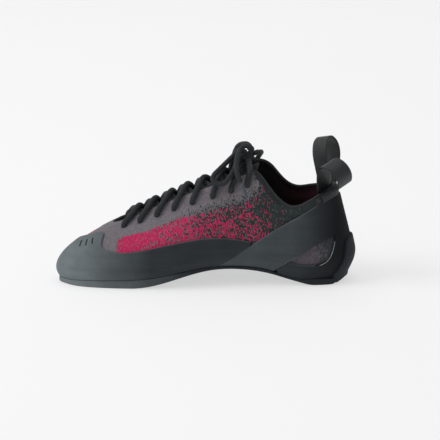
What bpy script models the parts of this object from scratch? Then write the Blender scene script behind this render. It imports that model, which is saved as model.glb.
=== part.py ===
"""A right climbing shoe: knitted upper on an asymmetric last, rubber rands, outsole, tongue, laces and pull loops.

+X runs from the toe to the heel, -Y is the medial side and +Z is up. The sole stands on Z = 0.
Lengths are in millimetres until a mesh is made. The shoe's skin is one function of two numbers:
r runs round the shoe (0 toe, 1 heel, 2 toe again, by way of the medial side) and t climbs from the
feather edge (0) to the throat and collar (1). Every wall, rand and tongue is cut from that skin.
"""

import math

import bmesh
import bpy
import numpy as np

MM = 0.001

# Driving sizes
SHOE_LENGTH = 260.0
BALL_WIDTH = 90.0
HEEL_WIDTH = 60.0
INSTEP_HEIGHT = 98.8
HEEL_HEIGHT = 84.6
ARCH_HEIGHT = 14.4
SOLE_EDGE = 7.6
WIDEST_HEIGHT = 30.0
EDGE_TUCK = 6.5

# Walls, gaps and widths of the pieces
UPPER_WALL = 2.0
RUBBER = 1.8
SKIVED_EDGE = 0.8
GAP = 0.3
BOND = 0.45
WELT = 0.7
LASTING_MARGIN = 11.0
INSOLE_THICKNESS = 2.0
TONGUE_THICKNESS = 2.6
TONGUE_REACH = 7.0
TAB_THICKNESS = 1.0
HEEL_WRAP_THICKNESS = 1.9
HEEL_WRAP_HEIGHT = 40.5
WEBBING_WIDTH = 18.0
WEBBING_THICKNESS = 1.3
SEAM = 0.9
LACE_DIAMETER = 4.0
LACE_RISE = 0.8
LACE_TURN = 0.018
TOE_BAR_STATION = 0.2
EYELET_DIAMETER = 4.6
EYELET_MARGIN = 10.5
KNOT_SIZE = 10.0
AGLET_LENGTH = 14.0
AGLET_DIAMETER = 2.8

# How the wall is divided: the share of t at which it is widest, its columns, and the ring's stations
WIDEST_T = 0.2
WALL_COLUMNS = (0.0, 0.1, WIDEST_T, 0.31, 0.42, 0.54, 0.66, 0.77, 0.88, 1.0)
RING_COUNT = 52
END_CROWDING = 0.5

LAST_SIZES = {"ball": BALL_WIDTH / 2, "heel": HEEL_WIDTH / 2}
TOP_SIZES = {"throat": (BALL_WIDTH / 2, INSTEP_HEIGHT), "collar": (HEEL_WIDTH / 2, HEEL_HEIGHT)}

# The last's sections, toe to heel. along is a share of the upper's length, across of half the ball or
# heel width, wide of WIDEST_HEIGHT, tuck of EDGE_TUCK, arch of ARCH_HEIGHT and sole of SOLE_EDGE.
# station, follows, along, across, wide, tuck, arch, sole
MEDIAL_SECTIONS = [
    (0.00, "ball", 0.000, -0.480, 0.43, 0.50, -0.04, 0.62),
    (0.07, "ball", 0.016, -0.655, 0.43, 0.50, -0.04, 0.64),
    (0.14, "ball", 0.054, -0.830, 0.45, 0.48, -0.04, 0.72),
    (0.22, "ball", 0.125, -0.955, 0.50, 0.46, -0.04, 0.87),
    (0.30, "ball", 0.220, -1.000, 0.54, 0.46, -0.03, 0.98),
    (0.38, "ball", 0.322, -0.985, 0.62, 0.50, 0.11, 1.00),
    (0.46, "ball", 0.425, -0.910, 0.82, 0.68, 0.57, 0.71),
    (0.55, "ball", 0.528, -0.795, 1.00, 0.90, 0.96, 0.47),
    (0.65, "heel", 0.630, -1.065, 1.07, 1.00, 0.97, 0.41),
    (0.77, "heel", 0.733, -1.010, 1.00, 0.92, 0.67, 0.42),
    (0.86, "heel", 0.835, -0.995, 0.88, 0.85, 0.16, 0.53),
    (0.91, "heel", 0.922, -0.880, 0.87, 0.85, -0.14, 0.82),
    (0.955, "heel", 0.973, -0.580, 0.88, 0.92, 0.13, 0.56),
    (1.00, "heel", 1.000, 0.000, 0.88, 1.00, 0.36, 0.36),
]
LATERAL_SECTIONS = [
    (0.955, "heel", 0.973, 0.580, 0.88, 0.92, 0.13, 0.56),
    (0.91, "heel", 0.922, 0.890, 0.87, 0.85, -0.14, 0.82),
    (0.86, "heel", 0.835, 1.020, 0.86, 0.80, 0.12, 0.54),
    (0.77, "heel", 0.733, 1.105, 0.85, 0.74, 0.45, 0.44),
    (0.65, "heel", 0.630, 1.240, 0.83, 0.66, 0.63, 0.45),
    (0.55, "ball", 0.528, 0.925, 0.77, 0.58, 0.52, 0.55),
    (0.46, "ball", 0.425, 0.990, 0.66, 0.52, 0.18, 0.83),
    (0.38, "ball", 0.322, 0.980, 0.58, 0.50, -0.03, 1.00),
    (0.30, "ball", 0.228, 0.870, 0.54, 0.48, -0.04, 0.97),
    (0.22, "ball", 0.140, 0.660, 0.50, 0.48, -0.04, 0.86),
    (0.14, "ball", 0.066, 0.310, 0.46, 0.48, -0.04, 0.74),
    (0.07, "ball", 0.019, -0.125, 0.43, 0.50, -0.04, 0.65),
]

# The edge of the throat and collar. along is a share of the upper's length, and across and height are
# shares of half the ball width and the instep height, or of half the heel width and the heel height.
# station, follows, along, across, height
MEDIAL_TOP_LINE = [
    (0.00, "throat", 0.184, -0.110, 0.503),
    (0.07, "throat", 0.190, -0.215, 0.505),
    (0.14, "throat", 0.201, -0.270, 0.517),
    (0.22, "throat", 0.222, -0.293, 0.538),
    (0.30, "throat", 0.275, -0.304, 0.593),
    (0.38, "throat", 0.350, -0.311, 0.680),
    (0.46, "throat", 0.433, -0.322, 0.771),
    (0.55, "throat", 0.520, -0.340, 0.857),
    (0.62, "throat", 0.590, -0.360, 0.923),
    (0.67, "throat", 0.642, -0.396, 0.977),
    (0.71, "throat", 0.673, -0.445, 1.000),
    (0.745, "throat", 0.700, -0.496, 0.944),
    (0.78, "throat", 0.727, -0.540, 0.850),
    (0.82, "collar", 0.761, -0.873, 0.884),
    (0.86, "collar", 0.800, -0.900, 0.826),
    (0.91, "collar", 0.851, -0.835, 0.866),
    (0.955, "collar", 0.906, -0.550, 0.945),
    (1.00, "collar", 0.946, 0.000, 1.000),
]
LATERAL_TOP_LINE = [
    (0.955, "collar", 0.908, 0.550, 0.952),
    (0.91, "collar", 0.858, 0.830, 0.910),
    (0.86, "collar", 0.812, 0.900, 0.893),
    (0.82, "collar", 0.774, 0.873, 0.950),
    (0.78, "throat", 0.741, 0.540, 0.910),
    (0.745, "throat", 0.716, 0.496, 0.982),
    (0.71, "throat", 0.682, 0.440, 1.018),
    (0.67, "throat", 0.646, 0.378, 0.980),
    (0.62, "throat", 0.590, 0.305, 0.926),
    (0.55, "throat", 0.520, 0.245, 0.859),
    (0.46, "throat", 0.433, 0.205, 0.771),
    (0.38, "throat", 0.350, 0.167, 0.678),
    (0.30, "throat", 0.275, 0.135, 0.590),
    (0.22, "throat", 0.222, 0.095, 0.535),
    (0.14, "throat", 0.201, 0.058, 0.515),
    (0.07, "throat", 0.190, -0.005, 0.504),
]

# How the wall climbs from its widest line to the top line: the Bezier handles as shares of the chord,
# and the slope at the top line in degrees.
# station, low handle, high handle, slope
WALL_PROFILE = [
    (0.00, 0.22, 0.42, 22),
    (0.08, 0.22, 0.42, 22),
    (0.15, 0.25, 0.40, 25),
    (0.22, 0.31, 0.37, 31),
    (0.30, 0.35, 0.35, 38),
    (0.38, 0.37, 0.34, 42),
    (0.46, 0.37, 0.33, 45),
    (0.55, 0.36, 0.32, 49),
    (0.65, 0.34, 0.30, 58),
    (0.71, 0.33, 0.30, 66),
    (0.78, 0.32, 0.30, 76),
    (0.86, 0.29, 0.32, 83),
    (0.93, 0.20, 0.34, 80),
    (1.00, 0.12, 0.38, 77),
]

# Top edge of the front rand, by station, as a share of the instep height: a high lobe over the big toe
# on the medial side, and a lower edge along the lateral side.
MEDIAL_RAND_TOP = [
    (0.00, 0.375), (0.05, 0.400), (0.10, 0.425), (0.15, 0.440), (0.185, 0.435), (0.205, 0.405),
    (0.225, 0.350), (0.25, 0.325), (0.28, 0.315), (0.31, 0.314), (0.36, 0.338), (0.41, 0.375), (0.46, 0.408),
    (0.52, 0.438), (0.58, 0.440), (0.64, 0.425), (0.70, 0.392), (0.80, 0.340),
]
LATERAL_RAND_TOP = [
    (0.05, 0.350), (0.10, 0.325), (0.16, 0.300), (0.22, 0.282), (0.30, 0.272), (0.38, 0.280),
    (0.46, 0.300), (0.54, 0.322), (0.62, 0.330), (0.70, 0.320), (0.80, 0.300),
]

# Edges of the slingshot band behind the arch. along is a share of the shoe's length, height of the
# heel height.
SLING_TOP = [
    (0.50, 0.195), (0.536, 0.222), (0.560, 0.254), (0.660, 0.452), (0.729, 0.591), (0.815, 0.742),
    (0.865, 0.834), (0.885, 0.872), (0.930, 0.905), (0.950, 0.912), (1.00, 0.925),
]
SLING_LOW = [
    (0.60, -0.05), (0.728, 0.156), (0.783, 0.271), (0.823, 0.345), (0.867, 0.442), (0.919, 0.515),
    (0.955, 0.530), (1.00, 0.530),
]
WINDOW_EDGE = [
    (0.783, 0.271), (0.804, 0.235), (0.830, 0.220), (0.860, 0.213), (0.893, 0.223), (0.911, 0.255),
    (0.921, 0.295), (0.929, 0.345), (0.934, 0.400), (0.938, 0.460), (0.942, 0.530),
]
# How high the outsole wraps up the heel, by station, as a share of HEEL_WRAP_HEIGHT
HEEL_WRAP_TOP = [
    (0.925, 0.24), (0.938, 0.36), (0.947, 0.52), (0.955, 0.72), (0.963, 0.88), (0.975, 0.96), (1.0, 1.0),
]

SLING_START = 0.56
CUP_TIP = 0.04
TAB_START = 0.93

WRAP_BLEND = (0.87, 0.935)

EYELETS_ALONG = [0.226, 0.282, 0.340, 0.398, 0.461, 0.530, 0.592, 0.647]

# Pull loops: outward of the collar edge and up from it, as shares of each loop's height
NEAR_LOOP_HEIGHT = 29.0
FAR_LOOP_HEIGHT = 40.0
LOOP_FOOT = 7.0
NEAR_LOOP_PATH = [
    (0.26, 0.06), (0.56, 0.16), (0.78, 0.38), (0.82, 0.66), (0.66, 0.91), (0.38, 1.00), (0.12, 0.86),
    (0.00, 0.54), (-0.07, 0.20),
]
FAR_LOOP_PATH = [
    (0.10, 0.10), (0.20, 0.33), (0.29, 0.62), (0.26, 0.86), (0.12, 1.00), (-0.03, 0.90), (-0.10, 0.66),
    (-0.09, 0.36), (-0.07, 0.12),
]
LOOP_STATION = 0.964

# Bow: routes of the free laces, each point along, across and up from the knot's centre, in lace
# diameters. They are two loose loops, one to each side, and two ends. A point beside the knot only
# gives the direction in which the lace leaves it.
KNOT_STATION = 0.672
NEAR_BOW_LOOP = [
    (-0.75, 0.05, 0.68), (-2.9, -1.1, 0.5), (-4.5, -2.8, -0.8), (-5.9, -4.0, -2.0), (-7.0, -5.0, -3.0),
    (-7.2, -5.8, -3.9), (-6.3, -6.2, -4.6), (-4.7, -6.3, -4.4), (-3.3, -5.8, -2.7), (-2.4, -4.4, -1.2),
    (-0.8, -0.65, -0.05),
]
FAR_BOW_LOOP = [
    (0.81, 0.5, 0.3), (2.4, 2.2, 0.5), (2.8, 4.0, 0.1), (2.3, 6.1, -1.1), (0.9, 7.9, -3.8),
    (-1.0, 9.0, -6.4), (-2.6, 9.2, -6.9), (-3.0, 8.4, -4.9), (-2.0, 6.6, -2.0), (-1.2, 4.4, -0.1),
    (-0.3, 0.85, 0.25),
]
NEAR_LACE_END = [
    (0.3, -0.6, 0.74), (0.95, -1.15, 1.9), (0.1, -0.95, 2.5), (-0.9, -0.95, 2.4), (-1.6, -1.5, 1.7),
    (-1.95, -2.8, 1.15), (-2.2, -4.4, 0.3), (-2.2, -5.9, -0.95), (-1.9, -7.0, -2.45), (-1.1, -7.5, -4.0),
]
FAR_LACE_END = [
    (0.15, 0.35, 0.92), (-0.6, 1.9, 2.4), (-2.2, 3.6, 1.5), (-3.3, 5.4, -1.1), (-4.0, 7.0, -4.0),
    (-4.5, 8.2, -6.5),
]

COLOURS = {
    "knit": (0.13, 0.10, 0.11, 0.95),
    "rubber": (0.045, 0.05, 0.054, 0.6),
    "lining": (0.012, 0.012, 0.013, 0.9),
    "webbing": (0.018, 0.019, 0.022, 0.7),
    "lace": (0.015, 0.016, 0.017, 0.85),
}

UPPER_START = RUBBER + BOND
UPPER_LENGTH = SHOE_LENGTH - UPPER_START - (BOND + RUBBER + WELT + HEEL_WRAP_THICKNESS)
MIDDLE = SHOE_LENGTH / 2


def make_material(name, red, green, blue, rough):
    """A plain finish for one kind of piece."""
    material = bpy.data.materials.new(name)
    material.use_nodes = True
    shader = material.node_tree.nodes["Principled BSDF"]
    shader.inputs["Base Color"].default_value = (red, green, blue, 1.0)
    shader.inputs["Roughness"].default_value = rough
    shader.inputs["Metallic"].default_value = 0.0
    return material


def ring_spline(knots, values):
    """The closed C2 cubic through values at the knots, with a period of 2 in r."""
    knots = np.asarray(knots, float)
    values = np.asarray(values, float)
    count = len(knots)
    width = np.diff(np.append(knots, knots[0] + 2.0))
    rise = np.roll(values, -1) - values
    matrix = np.zeros((count, count))
    right = np.zeros(count)
    for i in range(count):
        before = (i - 1) % count
        matrix[i, before] = width[before]
        matrix[i, i] = 2 * (width[before] + width[i])
        matrix[i, (i + 1) % count] = width[i]
        right[i] = 6 * (rise[i] / width[i] - rise[before] / width[before])
    bend = np.linalg.solve(matrix, right)

    def curve(r):
        r = np.mod(np.asarray(r, float) - knots[0], 2.0) + knots[0]
        i = np.clip(np.searchsorted(knots, r, side="right") - 1, 0, count - 1)
        j = (i + 1) % count
        h = width[i]
        a = knots[i] + h - r
        b = r - knots[i]
        return (
            (bend[i] * a**3 + bend[j] * b**3) / (6 * h)
            + (values[i] / h - bend[i] * h / 6) * a
            + (values[j] / h - bend[j] * h / 6) * b
        )

    return curve


def ring_rows(medial, lateral):
    """Rows of both sides in one ring, with the station turned into r."""
    return [(row[0], *row[1:]) for row in medial] + [(2.0 - row[0], *row[1:]) for row in lateral]


def both_sides(rows):
    """The same rows on both sides, without doubling the toe and the heel."""
    return ring_rows(rows, [row for row in reversed(rows) if 0.0 < row[0] < 1.0])


def along_to_x(share):
    """X of a share of the upper's length, with the shoe's middle at 0."""
    return UPPER_START + share * UPPER_LENGTH - MIDDLE


def shape_curves():
    """Every line of the last as a function of r."""
    wall = ring_rows(MEDIAL_SECTIONS, LATERAL_SECTIONS)
    top = ring_rows(MEDIAL_TOP_LINE, LATERAL_TOP_LINE)
    profile = both_sides(WALL_PROFILE)
    r_wall = [row[0] for row in wall]
    r_top = [row[0] for row in top]
    r_profile = [row[0] for row in profile]
    ground = [row[6] * ARCH_HEIGHT for row in wall]
    sole = [row[7] * SOLE_EDGE for row in wall]
    return {
        "wall_x": ring_spline(r_wall, [along_to_x(row[2]) for row in wall]),
        "wall_y": ring_spline(r_wall, [row[3] * LAST_SIZES[row[1]] for row in wall]),
        "wall_z": ring_spline(r_wall, [row[4] * WIDEST_HEIGHT for row in wall]),
        "tuck": ring_spline(r_wall, [row[5] * EDGE_TUCK for row in wall]),
        "ground": ring_spline(r_wall, ground),
        "seat": ring_spline(r_wall, [max(g, 0.0) + s for g, s in zip(ground, sole)]),
        "top_x": ring_spline(r_top, [along_to_x(row[2]) for row in top]),
        "top_y": ring_spline(r_top, [row[3] * TOP_SIZES[row[1]][0] for row in top]),
        "top_z": ring_spline(r_top, [row[4] * TOP_SIZES[row[1]][1] for row in top]),
        "low": ring_spline(r_profile, [row[1] for row in profile]),
        "high": ring_spline(r_profile, [row[2] for row in profile]),
        "slope": ring_spline(r_profile, [math.radians(row[3]) for row in profile]),
    }


CURVES = shape_curves()


def stack(x, y, z):
    return np.stack(np.broadcast_arrays(x, y, z), axis=-1)


def inward(r):
    """The level unit vector at r that points into the shoe."""
    step = 1e-4
    dx = CURVES["wall_x"](r + step) - CURVES["wall_x"](r - step)
    dy = CURVES["wall_y"](r + step) - CURVES["wall_y"](r - step)
    length = np.hypot(dx, dy)
    return stack(-dy / length, dx / length, 0.0)


def seat(r):
    return CURVES["seat"](r)


def ground(r):
    """The sole's lower edge: flat on the floor under the ball and the heel, arched between them."""
    return np.maximum(CURVES["ground"](r), 0.0)


def feather(r):
    """The edge between the wall and the lasting margin."""
    point = stack(CURVES["wall_x"](r), CURVES["wall_y"](r), seat(r))
    return point + inward(r) * CURVES["tuck"](r)[..., None]


def bezier(p0, p1, p2, p3, v):
    v = v[..., None]
    u = 1 - v
    return u**3 * p0 + 3 * u**2 * v * p1 + 3 * u * v**2 * p2 + v**3 * p3


def skin(r, t):
    """The upper's outer surface at r and t."""
    r, t = np.broadcast_arrays(np.asarray(r, float), np.asarray(t, float))
    wall = stack(CURVES["wall_x"](r), CURVES["wall_y"](r), CURVES["wall_z"](r))
    top = stack(CURVES["top_x"](r), CURVES["top_y"](r), CURVES["top_z"](r))
    foot = feather(r)
    rise = (wall[..., 2] - foot[..., 2])[..., None]
    up = np.array([0.0, 0.0, 1.0])
    out = -inward(r) * CURVES["tuck"](r)[..., None]
    lower = bezier(foot, foot + 0.4 * out + 0.33 * rise * up, wall - 0.4 * rise * up, wall,
                   np.clip(t / WIDEST_T, 0, 1))
    chord = np.linalg.norm(top - wall, axis=-1)[..., None]
    level = top - wall
    level[..., 2] = 0.0
    level = level / np.linalg.norm(level, axis=-1)[..., None]
    slope = CURVES["slope"](r)[..., None]
    arrive = level * np.cos(slope) + up * np.sin(slope)
    upper = bezier(wall, wall + up * chord * CURVES["low"](r)[..., None],
                   top - arrive * chord * CURVES["high"](r)[..., None], top,
                   np.clip((t - WIDEST_T) / (1 - WIDEST_T), 0, 1))
    return np.where((t < WIDEST_T)[..., None], lower, upper)


def normal(r, t):
    """The unit vector out of the skin."""
    r, t = np.broadcast_arrays(np.asarray(r, float), np.asarray(t, float))
    step = 1e-3
    low = np.clip(t - step, 0, 1)
    high = np.clip(t + step, 0, 1)
    n = np.cross(skin(r + step, t) - skin(r - step, t), skin(r, high) - skin(r, low))
    return n / np.linalg.norm(n, axis=-1)[..., None]


def offset(r, t, distance):
    """The skin moved out by a distance, or in by a negative one."""
    distance = np.asarray(distance, float)
    return skin(r, t) + normal(r, t) * distance[..., None]


def t_at_height(r, height):
    """The t at which the wall at one r reaches a height."""
    ts = np.linspace(0, 1, 241)
    zs = skin(np.full_like(ts, r), ts)[:, 2]
    return float(np.interp(height, zs, ts))


def t_on_line(r, line):
    """The t at which the wall at one r crosses a line of shares of the length and the heel height."""
    ts = np.linspace(0, 1, 241)
    points = skin(np.full_like(ts, r), ts)
    along = (points[:, 0] + MIDDLE) / SHOE_LENGTH
    limit = np.interp(along, [row[0] for row in line], [row[1] for row in line]) * HEEL_HEIGHT
    above = np.nonzero(points[:, 2] >= limit)[0]
    if len(above) == 0:
        return 1.0
    first = above[0]
    if first == 0:
        return 0.0
    rise = points[:, 2] - limit
    return float(np.interp(0.0, rise[first - 1:first + 1], ts[first - 1:first + 1]))


def at_station(rows, station):
    return float(np.interp(station, [row[0] for row in rows], [row[1] for row in rows]))


def spaced(first, last, count):
    """Values from first to last, closer together at both ends."""
    u = np.linspace(0, 1, count)
    return first + (last - first) * (u - END_CROWDING * np.sin(2 * np.pi * u) / (2 * np.pi))


def ring_stations():
    """r all round the shoe, closer together at the toe and the heel."""
    half = spaced(0.0, 1.0, RING_COUNT // 2 + 1)
    return np.concatenate([half, 2.0 - half[-2:0:-1]])


def stations_between(first, last, finer=()):
    """The ring's own stations from first to last, with both ends. Below 0 is the lateral side.
    finer gives a range with stations half way between them too."""
    ring = ring_stations()
    ring = np.concatenate([ring - 2.0, ring, ring + 2.0])
    ring = ring[(ring > first + 0.004) & (ring < last - 0.004)]
    chosen = np.concatenate([[first], ring, [last]])
    if finer:
        halves = (chosen[1:] + chosen[:-1]) / 2
        chosen = np.sort(np.concatenate([chosen, halves[(halves > finer[0]) & (halves < finer[1])]]))
    return chosen


def solid(name, points, faces, colour, smooth=True):
    """An object from points in millimetres, closed and facing out."""
    mesh = bpy.data.meshes.new(name)
    bm = bmesh.new()
    made = [bm.verts.new((x * MM, y * MM, z * MM)) for x, y, z in points]
    for face in faces:
        bm.faces.new([made[i] for i in face])
    bmesh.ops.remove_doubles(bm, verts=bm.verts, dist=0.002 * MM)
    bmesh.ops.dissolve_degenerate(bm, edges=bm.edges, dist=0.001 * MM)
    bmesh.ops.triangulate(bm, faces=bm.faces, quad_method="SHORT_EDGE")
    bmesh.ops.recalc_face_normals(bm, faces=bm.faces)
    bm.to_mesh(mesh)
    bm.free()
    obj = bpy.data.objects.new(name, mesh)
    obj.data.materials.append(MATERIALS[colour])
    bpy.context.scene.collection.objects.link(obj)
    if smooth:
        mesh.shade_smooth()
        mesh.set_sharp_from_angle(angle=math.radians(35))
    return obj


def shell(name, outer, inner, colour, closed=False):
    """One solid between two grids of points with the same rows and columns. A closed one is a ring."""
    rows, columns = outer.shape[:2]
    points = np.concatenate([outer.reshape(-1, 3), inner.reshape(-1, 3)])
    back = rows * columns

    def at(i, j):
        return (i % rows) * columns + j

    faces = []
    last = rows if closed else rows - 1
    for i in range(last):
        for j in range(columns - 1):
            quad = [at(i, j), at(i + 1, j), at(i + 1, j + 1), at(i, j + 1)]
            faces.append(quad)
            faces.append([back + k for k in reversed(quad)])
        for j in (0, columns - 1):
            side = [at(i, j), at(i + 1, j), back + at(i + 1, j), back + at(i, j)]
            faces.append(side if j else side[::-1])
    if not closed:
        for i in (0, rows - 1):
            for j in range(columns - 1):
                side = [at(i, j), at(i, j + 1), back + at(i, j + 1), back + at(i, j)]
                faces.append(side[::-1] if i else side)
    return solid(name, points, faces, colour)


def boolean(obj, cutters, operation):
    """Cuts or joins with other objects, which are then removed."""
    for cutter in cutters:
        modifier = obj.modifiers.new(operation.title(), "BOOLEAN")
        modifier.operation = operation
        modifier.solver = "EXACT"
        modifier.object = cutter
    bpy.context.view_layer.update()
    graph = bpy.context.evaluated_depsgraph_get()
    mesh = bpy.data.meshes.new_from_object(obj.evaluated_get(graph))
    obj.modifiers.clear()
    obj.data = mesh
    for cutter in cutters:
        bpy.data.objects.remove(cutter)
    return obj


def tube(name, path, diameter, colour, sides=6):
    """A solid cord along a path, which has flat ends."""
    path = np.asarray(path, float)
    ahead = np.gradient(path, axis=0)
    ahead = ahead / np.linalg.norm(ahead, axis=1)[:, None]
    side = np.cross(ahead[0], [0.31, 0.62, 0.72])
    rings = []
    for point, direction in zip(path, ahead):
        side = side - direction * (side @ direction)
        side = side / np.linalg.norm(side)
        across = np.cross(direction, side)
        turns = [2 * math.pi * k / sides for k in range(sides)]
        rings.append([point + diameter / 2 * (side * math.cos(a) + across * math.sin(a)) for a in turns])
    points = [p for ring in rings for p in ring]
    faces = [list(range(sides))[::-1], [len(points) - sides + k for k in range(sides)]]
    for i in range(len(rings) - 1):
        for k in range(sides):
            a, b = i * sides + k, i * sides + (k + 1) % sides
            faces.append([a, b, b + sides, a + sides])
    return solid(name, points, faces, colour)


def smooth_path(points, count):
    """Points at even spacing on a Catmull-Rom curve through the given ones."""
    points = np.asarray(points, float)
    padded = np.vstack([2 * points[0] - points[1], points, 2 * points[-1] - points[-2]])
    fine = []
    for i in range(1, len(padded) - 2):
        p0, p1, p2, p3 = padded[i - 1:i + 3]
        for u in np.linspace(0, 1, 12, endpoint=False):
            fine.append(0.5 * (2 * p1 + (p2 - p0) * u + (2 * p0 - 5 * p1 + 4 * p2 - p3) * u**2
                               + (3 * p1 - p0 - 3 * p2 + p3) * u**3))
    fine = np.array([*fine, points[-1]])
    run = np.concatenate([[0], np.cumsum(np.linalg.norm(np.diff(fine, axis=0), axis=1))])
    wanted = np.linspace(0, run[-1], count)
    return np.stack([np.interp(wanted, run, fine[:, k]) for k in range(3)], axis=1)


def make_upper():
    """The knitted upper: one wall with a lasting margin turned in underneath, open at throat and collar."""
    stations = ring_stations()
    r = stations[:, None]
    t = np.array(WALL_COLUMNS)[None, :]
    wall_out = skin(r, t)
    wall_in = offset(r, t, np.full(t.shape, -UPPER_WALL))
    foot = feather(r)
    into = toward_middle(r)
    margin_out = foot + into * LASTING_MARGIN
    corner = foot + into * UPPER_WALL * 1.1
    for line, lift in ((margin_out, 0.0), (corner, UPPER_WALL)):
        line[..., 2] = bed(line[..., 0], line[..., 1]) + lift
    margin_in = margin_out + np.array([0, 0, UPPER_WALL])
    outer = np.concatenate([margin_out, wall_out], axis=1)
    inner = np.concatenate([margin_in, corner, wall_in[:, 1:]], axis=1)
    upper = shell("upper", outer, inner, "knit", closed=True)
    return boolean(upper, eyelet_cutters(), "DIFFERENCE")


def eyelet(k, medial):
    """r and t of the centre of eyelet k, a margin's width below the throat's edge."""
    target = along_to_x(EYELETS_ALONG[k])
    rs = np.linspace(0.2, 0.72, 105) if medial else 2.0 - np.linspace(0.2, 0.72, 105)
    ts = np.linspace(0.6, 1.0, 81)
    found = []
    for r in rs:
        points = skin(np.full_like(ts, r), ts)
        run = np.cumsum(np.linalg.norm(np.diff(points[::-1], axis=0), axis=1))[::-1]
        t = float(np.interp(-EYELET_MARGIN, -np.append(run, 0.0), ts))
        found.append((skin(r, t)[0], t))
    xs = [x for x, _ in found]
    return float(np.interp(target, xs, rs)), float(np.interp(target, xs, [t for _, t in found]))


def eyelet_cutters():
    """A short pin through the wall at every eyelet."""
    cutters = []
    for k in range(len(EYELETS_ALONG)):
        for medial in (True, False):
            r, t = eyelet(k, medial)
            ends = [offset(r, t, np.array(d)) for d in (-3 * UPPER_WALL, 2 * UPPER_WALL)]
            cutters.append(tube("cutter", ends, EYELET_DIAMETER, "knit", sides=6))
    return cutters


def wall_columns(low, high, count):
    """Values of t from low to high in each row, with one at the widest line where the row has it."""
    low, high = low[:, None], high[:, None]
    widest = np.clip(WIDEST_T / high, 0.3, 0.6)
    rest = np.linspace(0, 1, count - 2)[None, 1:]
    v = np.concatenate([0 * widest, widest / 2, widest, widest + (1 - widest) * rest], axis=1)
    return low + (high - low) * v


def rubber_patch(name, rs, low, high, columns, thickness=RUBBER, edge=SKIVED_EDGE, colour="rubber"):
    """A piece laid on the skin between two values of t for every r, thinner at its upper edge."""
    r = np.asarray(rs)[:, None]
    t = wall_columns(np.asarray(low), np.asarray(high), columns)
    thin = np.full(t.shape, thickness)
    thin[:, -1] = edge
    inner = offset(r, t, np.full(t.shape, BOND))
    outer = offset(r, t, BOND + thin)
    for side in (inner, outer):
        side[..., 2] = np.maximum(side[..., 2], bed(side[..., 0], side[..., 1]) + GAP / 2)
    return shell(name, outer, inner, colour)


def rand_top(r):
    """The t of the front rand's upper edge. Below 0 is the lateral side."""
    rows = MEDIAL_RAND_TOP if r >= 0 else [MEDIAL_RAND_TOP[0], *LATERAL_RAND_TOP]
    return t_at_height(r, at_station(rows, abs(r)) * INSTEP_HEIGHT)


def sling_seam(r):
    """The t of the front rand's edge along the slingshot, a seam's width above it."""
    clear = [(along, height + SEAM / HEEL_HEIGHT) for along, height in SLING_TOP]
    return t_on_line(r, clear) if abs(r) > 0.5 else 0.0


def rand_end(side):
    """The r at which the slingshot's seam has climbed to the front rand's upper edge."""
    for r in np.linspace(0.5, 0.8, 121) * side:
        if sling_seam(r) > rand_top(r) - 0.03:
            return r
    return 0.8 * side


def make_front_rand():
    """Toe rubber and side rand in one piece, from the slingshot on one side round to the other."""
    rs = stations_between(rand_end(-1), rand_end(1), finer=(0.15, 0.28))
    low = [sling_seam(r) for r in rs]
    return rubber_patch("front_rand", rs, low, [rand_top(r) for r in rs], 8)


def make_slingshot():
    """The tensioned band from under the arch, up both sides and round the back of the heel."""
    rs = stations_between(SLING_START, 2.0 - SLING_START)
    low = [t_on_line(r, SLING_LOW) for r in rs]
    high = [max(t_on_line(r, SLING_TOP), lower + 0.03) for r, lower in zip(rs, low)]
    return rubber_patch("slingshot_rand", rs, low, high, 6)


def cup_seam(r):
    """The t of the heel cup's edge along the slingshot, a seam's width below it."""
    return t_on_line(r, [(along, height - SEAM / HEEL_HEIGHT) for along, height in SLING_LOW])


def cup_start(side):
    """The station at which the slingshot leaves room for the heel cup under it."""
    for station in np.linspace(0.7, 0.9, 101):
        if cup_seam(station * side) > CUP_TIP:
            return station
    return 0.9


def make_heel_cup():
    """Heel rubber under the slingshot, cut away on both sides so that the knit shows as a window."""
    first, last = cup_start(1), 2.0 - cup_start(-1)
    rs = stations_between(first, last, finer=(first, last))
    high = []
    for r in rs:
        top = cup_seam(r)
        share = (float(skin(r, top)[0]) + MIDDLE) / SHOE_LENGTH
        if WINDOW_EDGE[0][0] < share < WINDOW_EDGE[-1][0]:
            top = min(top, t_on_line(r, WINDOW_EDGE))
        high.append(max(top, CUP_TIP))
    return rubber_patch("heel_cup", rs, np.zeros(len(rs)), high, 5)


def side_lines():
    """The feather edge, the bed and the sole's lower edge on each side, by X."""
    s = np.linspace(0, 1, 121)
    lines = []
    for r in (s, 2.0 - s):
        edge = feather(r)
        lines.append((edge[:, 0], edge[:, 1], seat(r), ground(r)))
    return lines


def between_sides(x, y, kind):
    """The height of the bed (2) or the ground line (3) at a point, blended from side to side."""
    medial, lateral = SIDES
    near = np.interp(x, medial[0], medial[1])
    far = np.interp(x, lateral[0], lateral[1])
    v = np.clip((y - near) / np.maximum(far - near, GAP), 0, 1)
    blend = v**2 * (3 - 2 * v)
    return np.interp(x, medial[0], medial[kind]) * (1 - blend) + np.interp(x, lateral[0], lateral[kind]) * blend


def bed(x, y):
    """The underside of the upper's lasting margin."""
    return between_sides(x, y, 2)


def toward_middle(r):
    """The level unit vector at r from the feather edge to the shoe's middle line."""
    edge = feather(r)
    x = np.clip(edge[..., 0], -MIDDLE + BALL_WIDTH * 0.42, MIDDLE - HEEL_WIDTH * 0.52)
    y = (np.interp(x, SIDES[0][0], SIDES[0][1]) + np.interp(x, SIDES[1][0], SIDES[1][1])) / 2
    way = stack(x - edge[..., 0], y - edge[..., 1], 0.0)
    return way / np.linalg.norm(way, axis=-1)[..., None]


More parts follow.
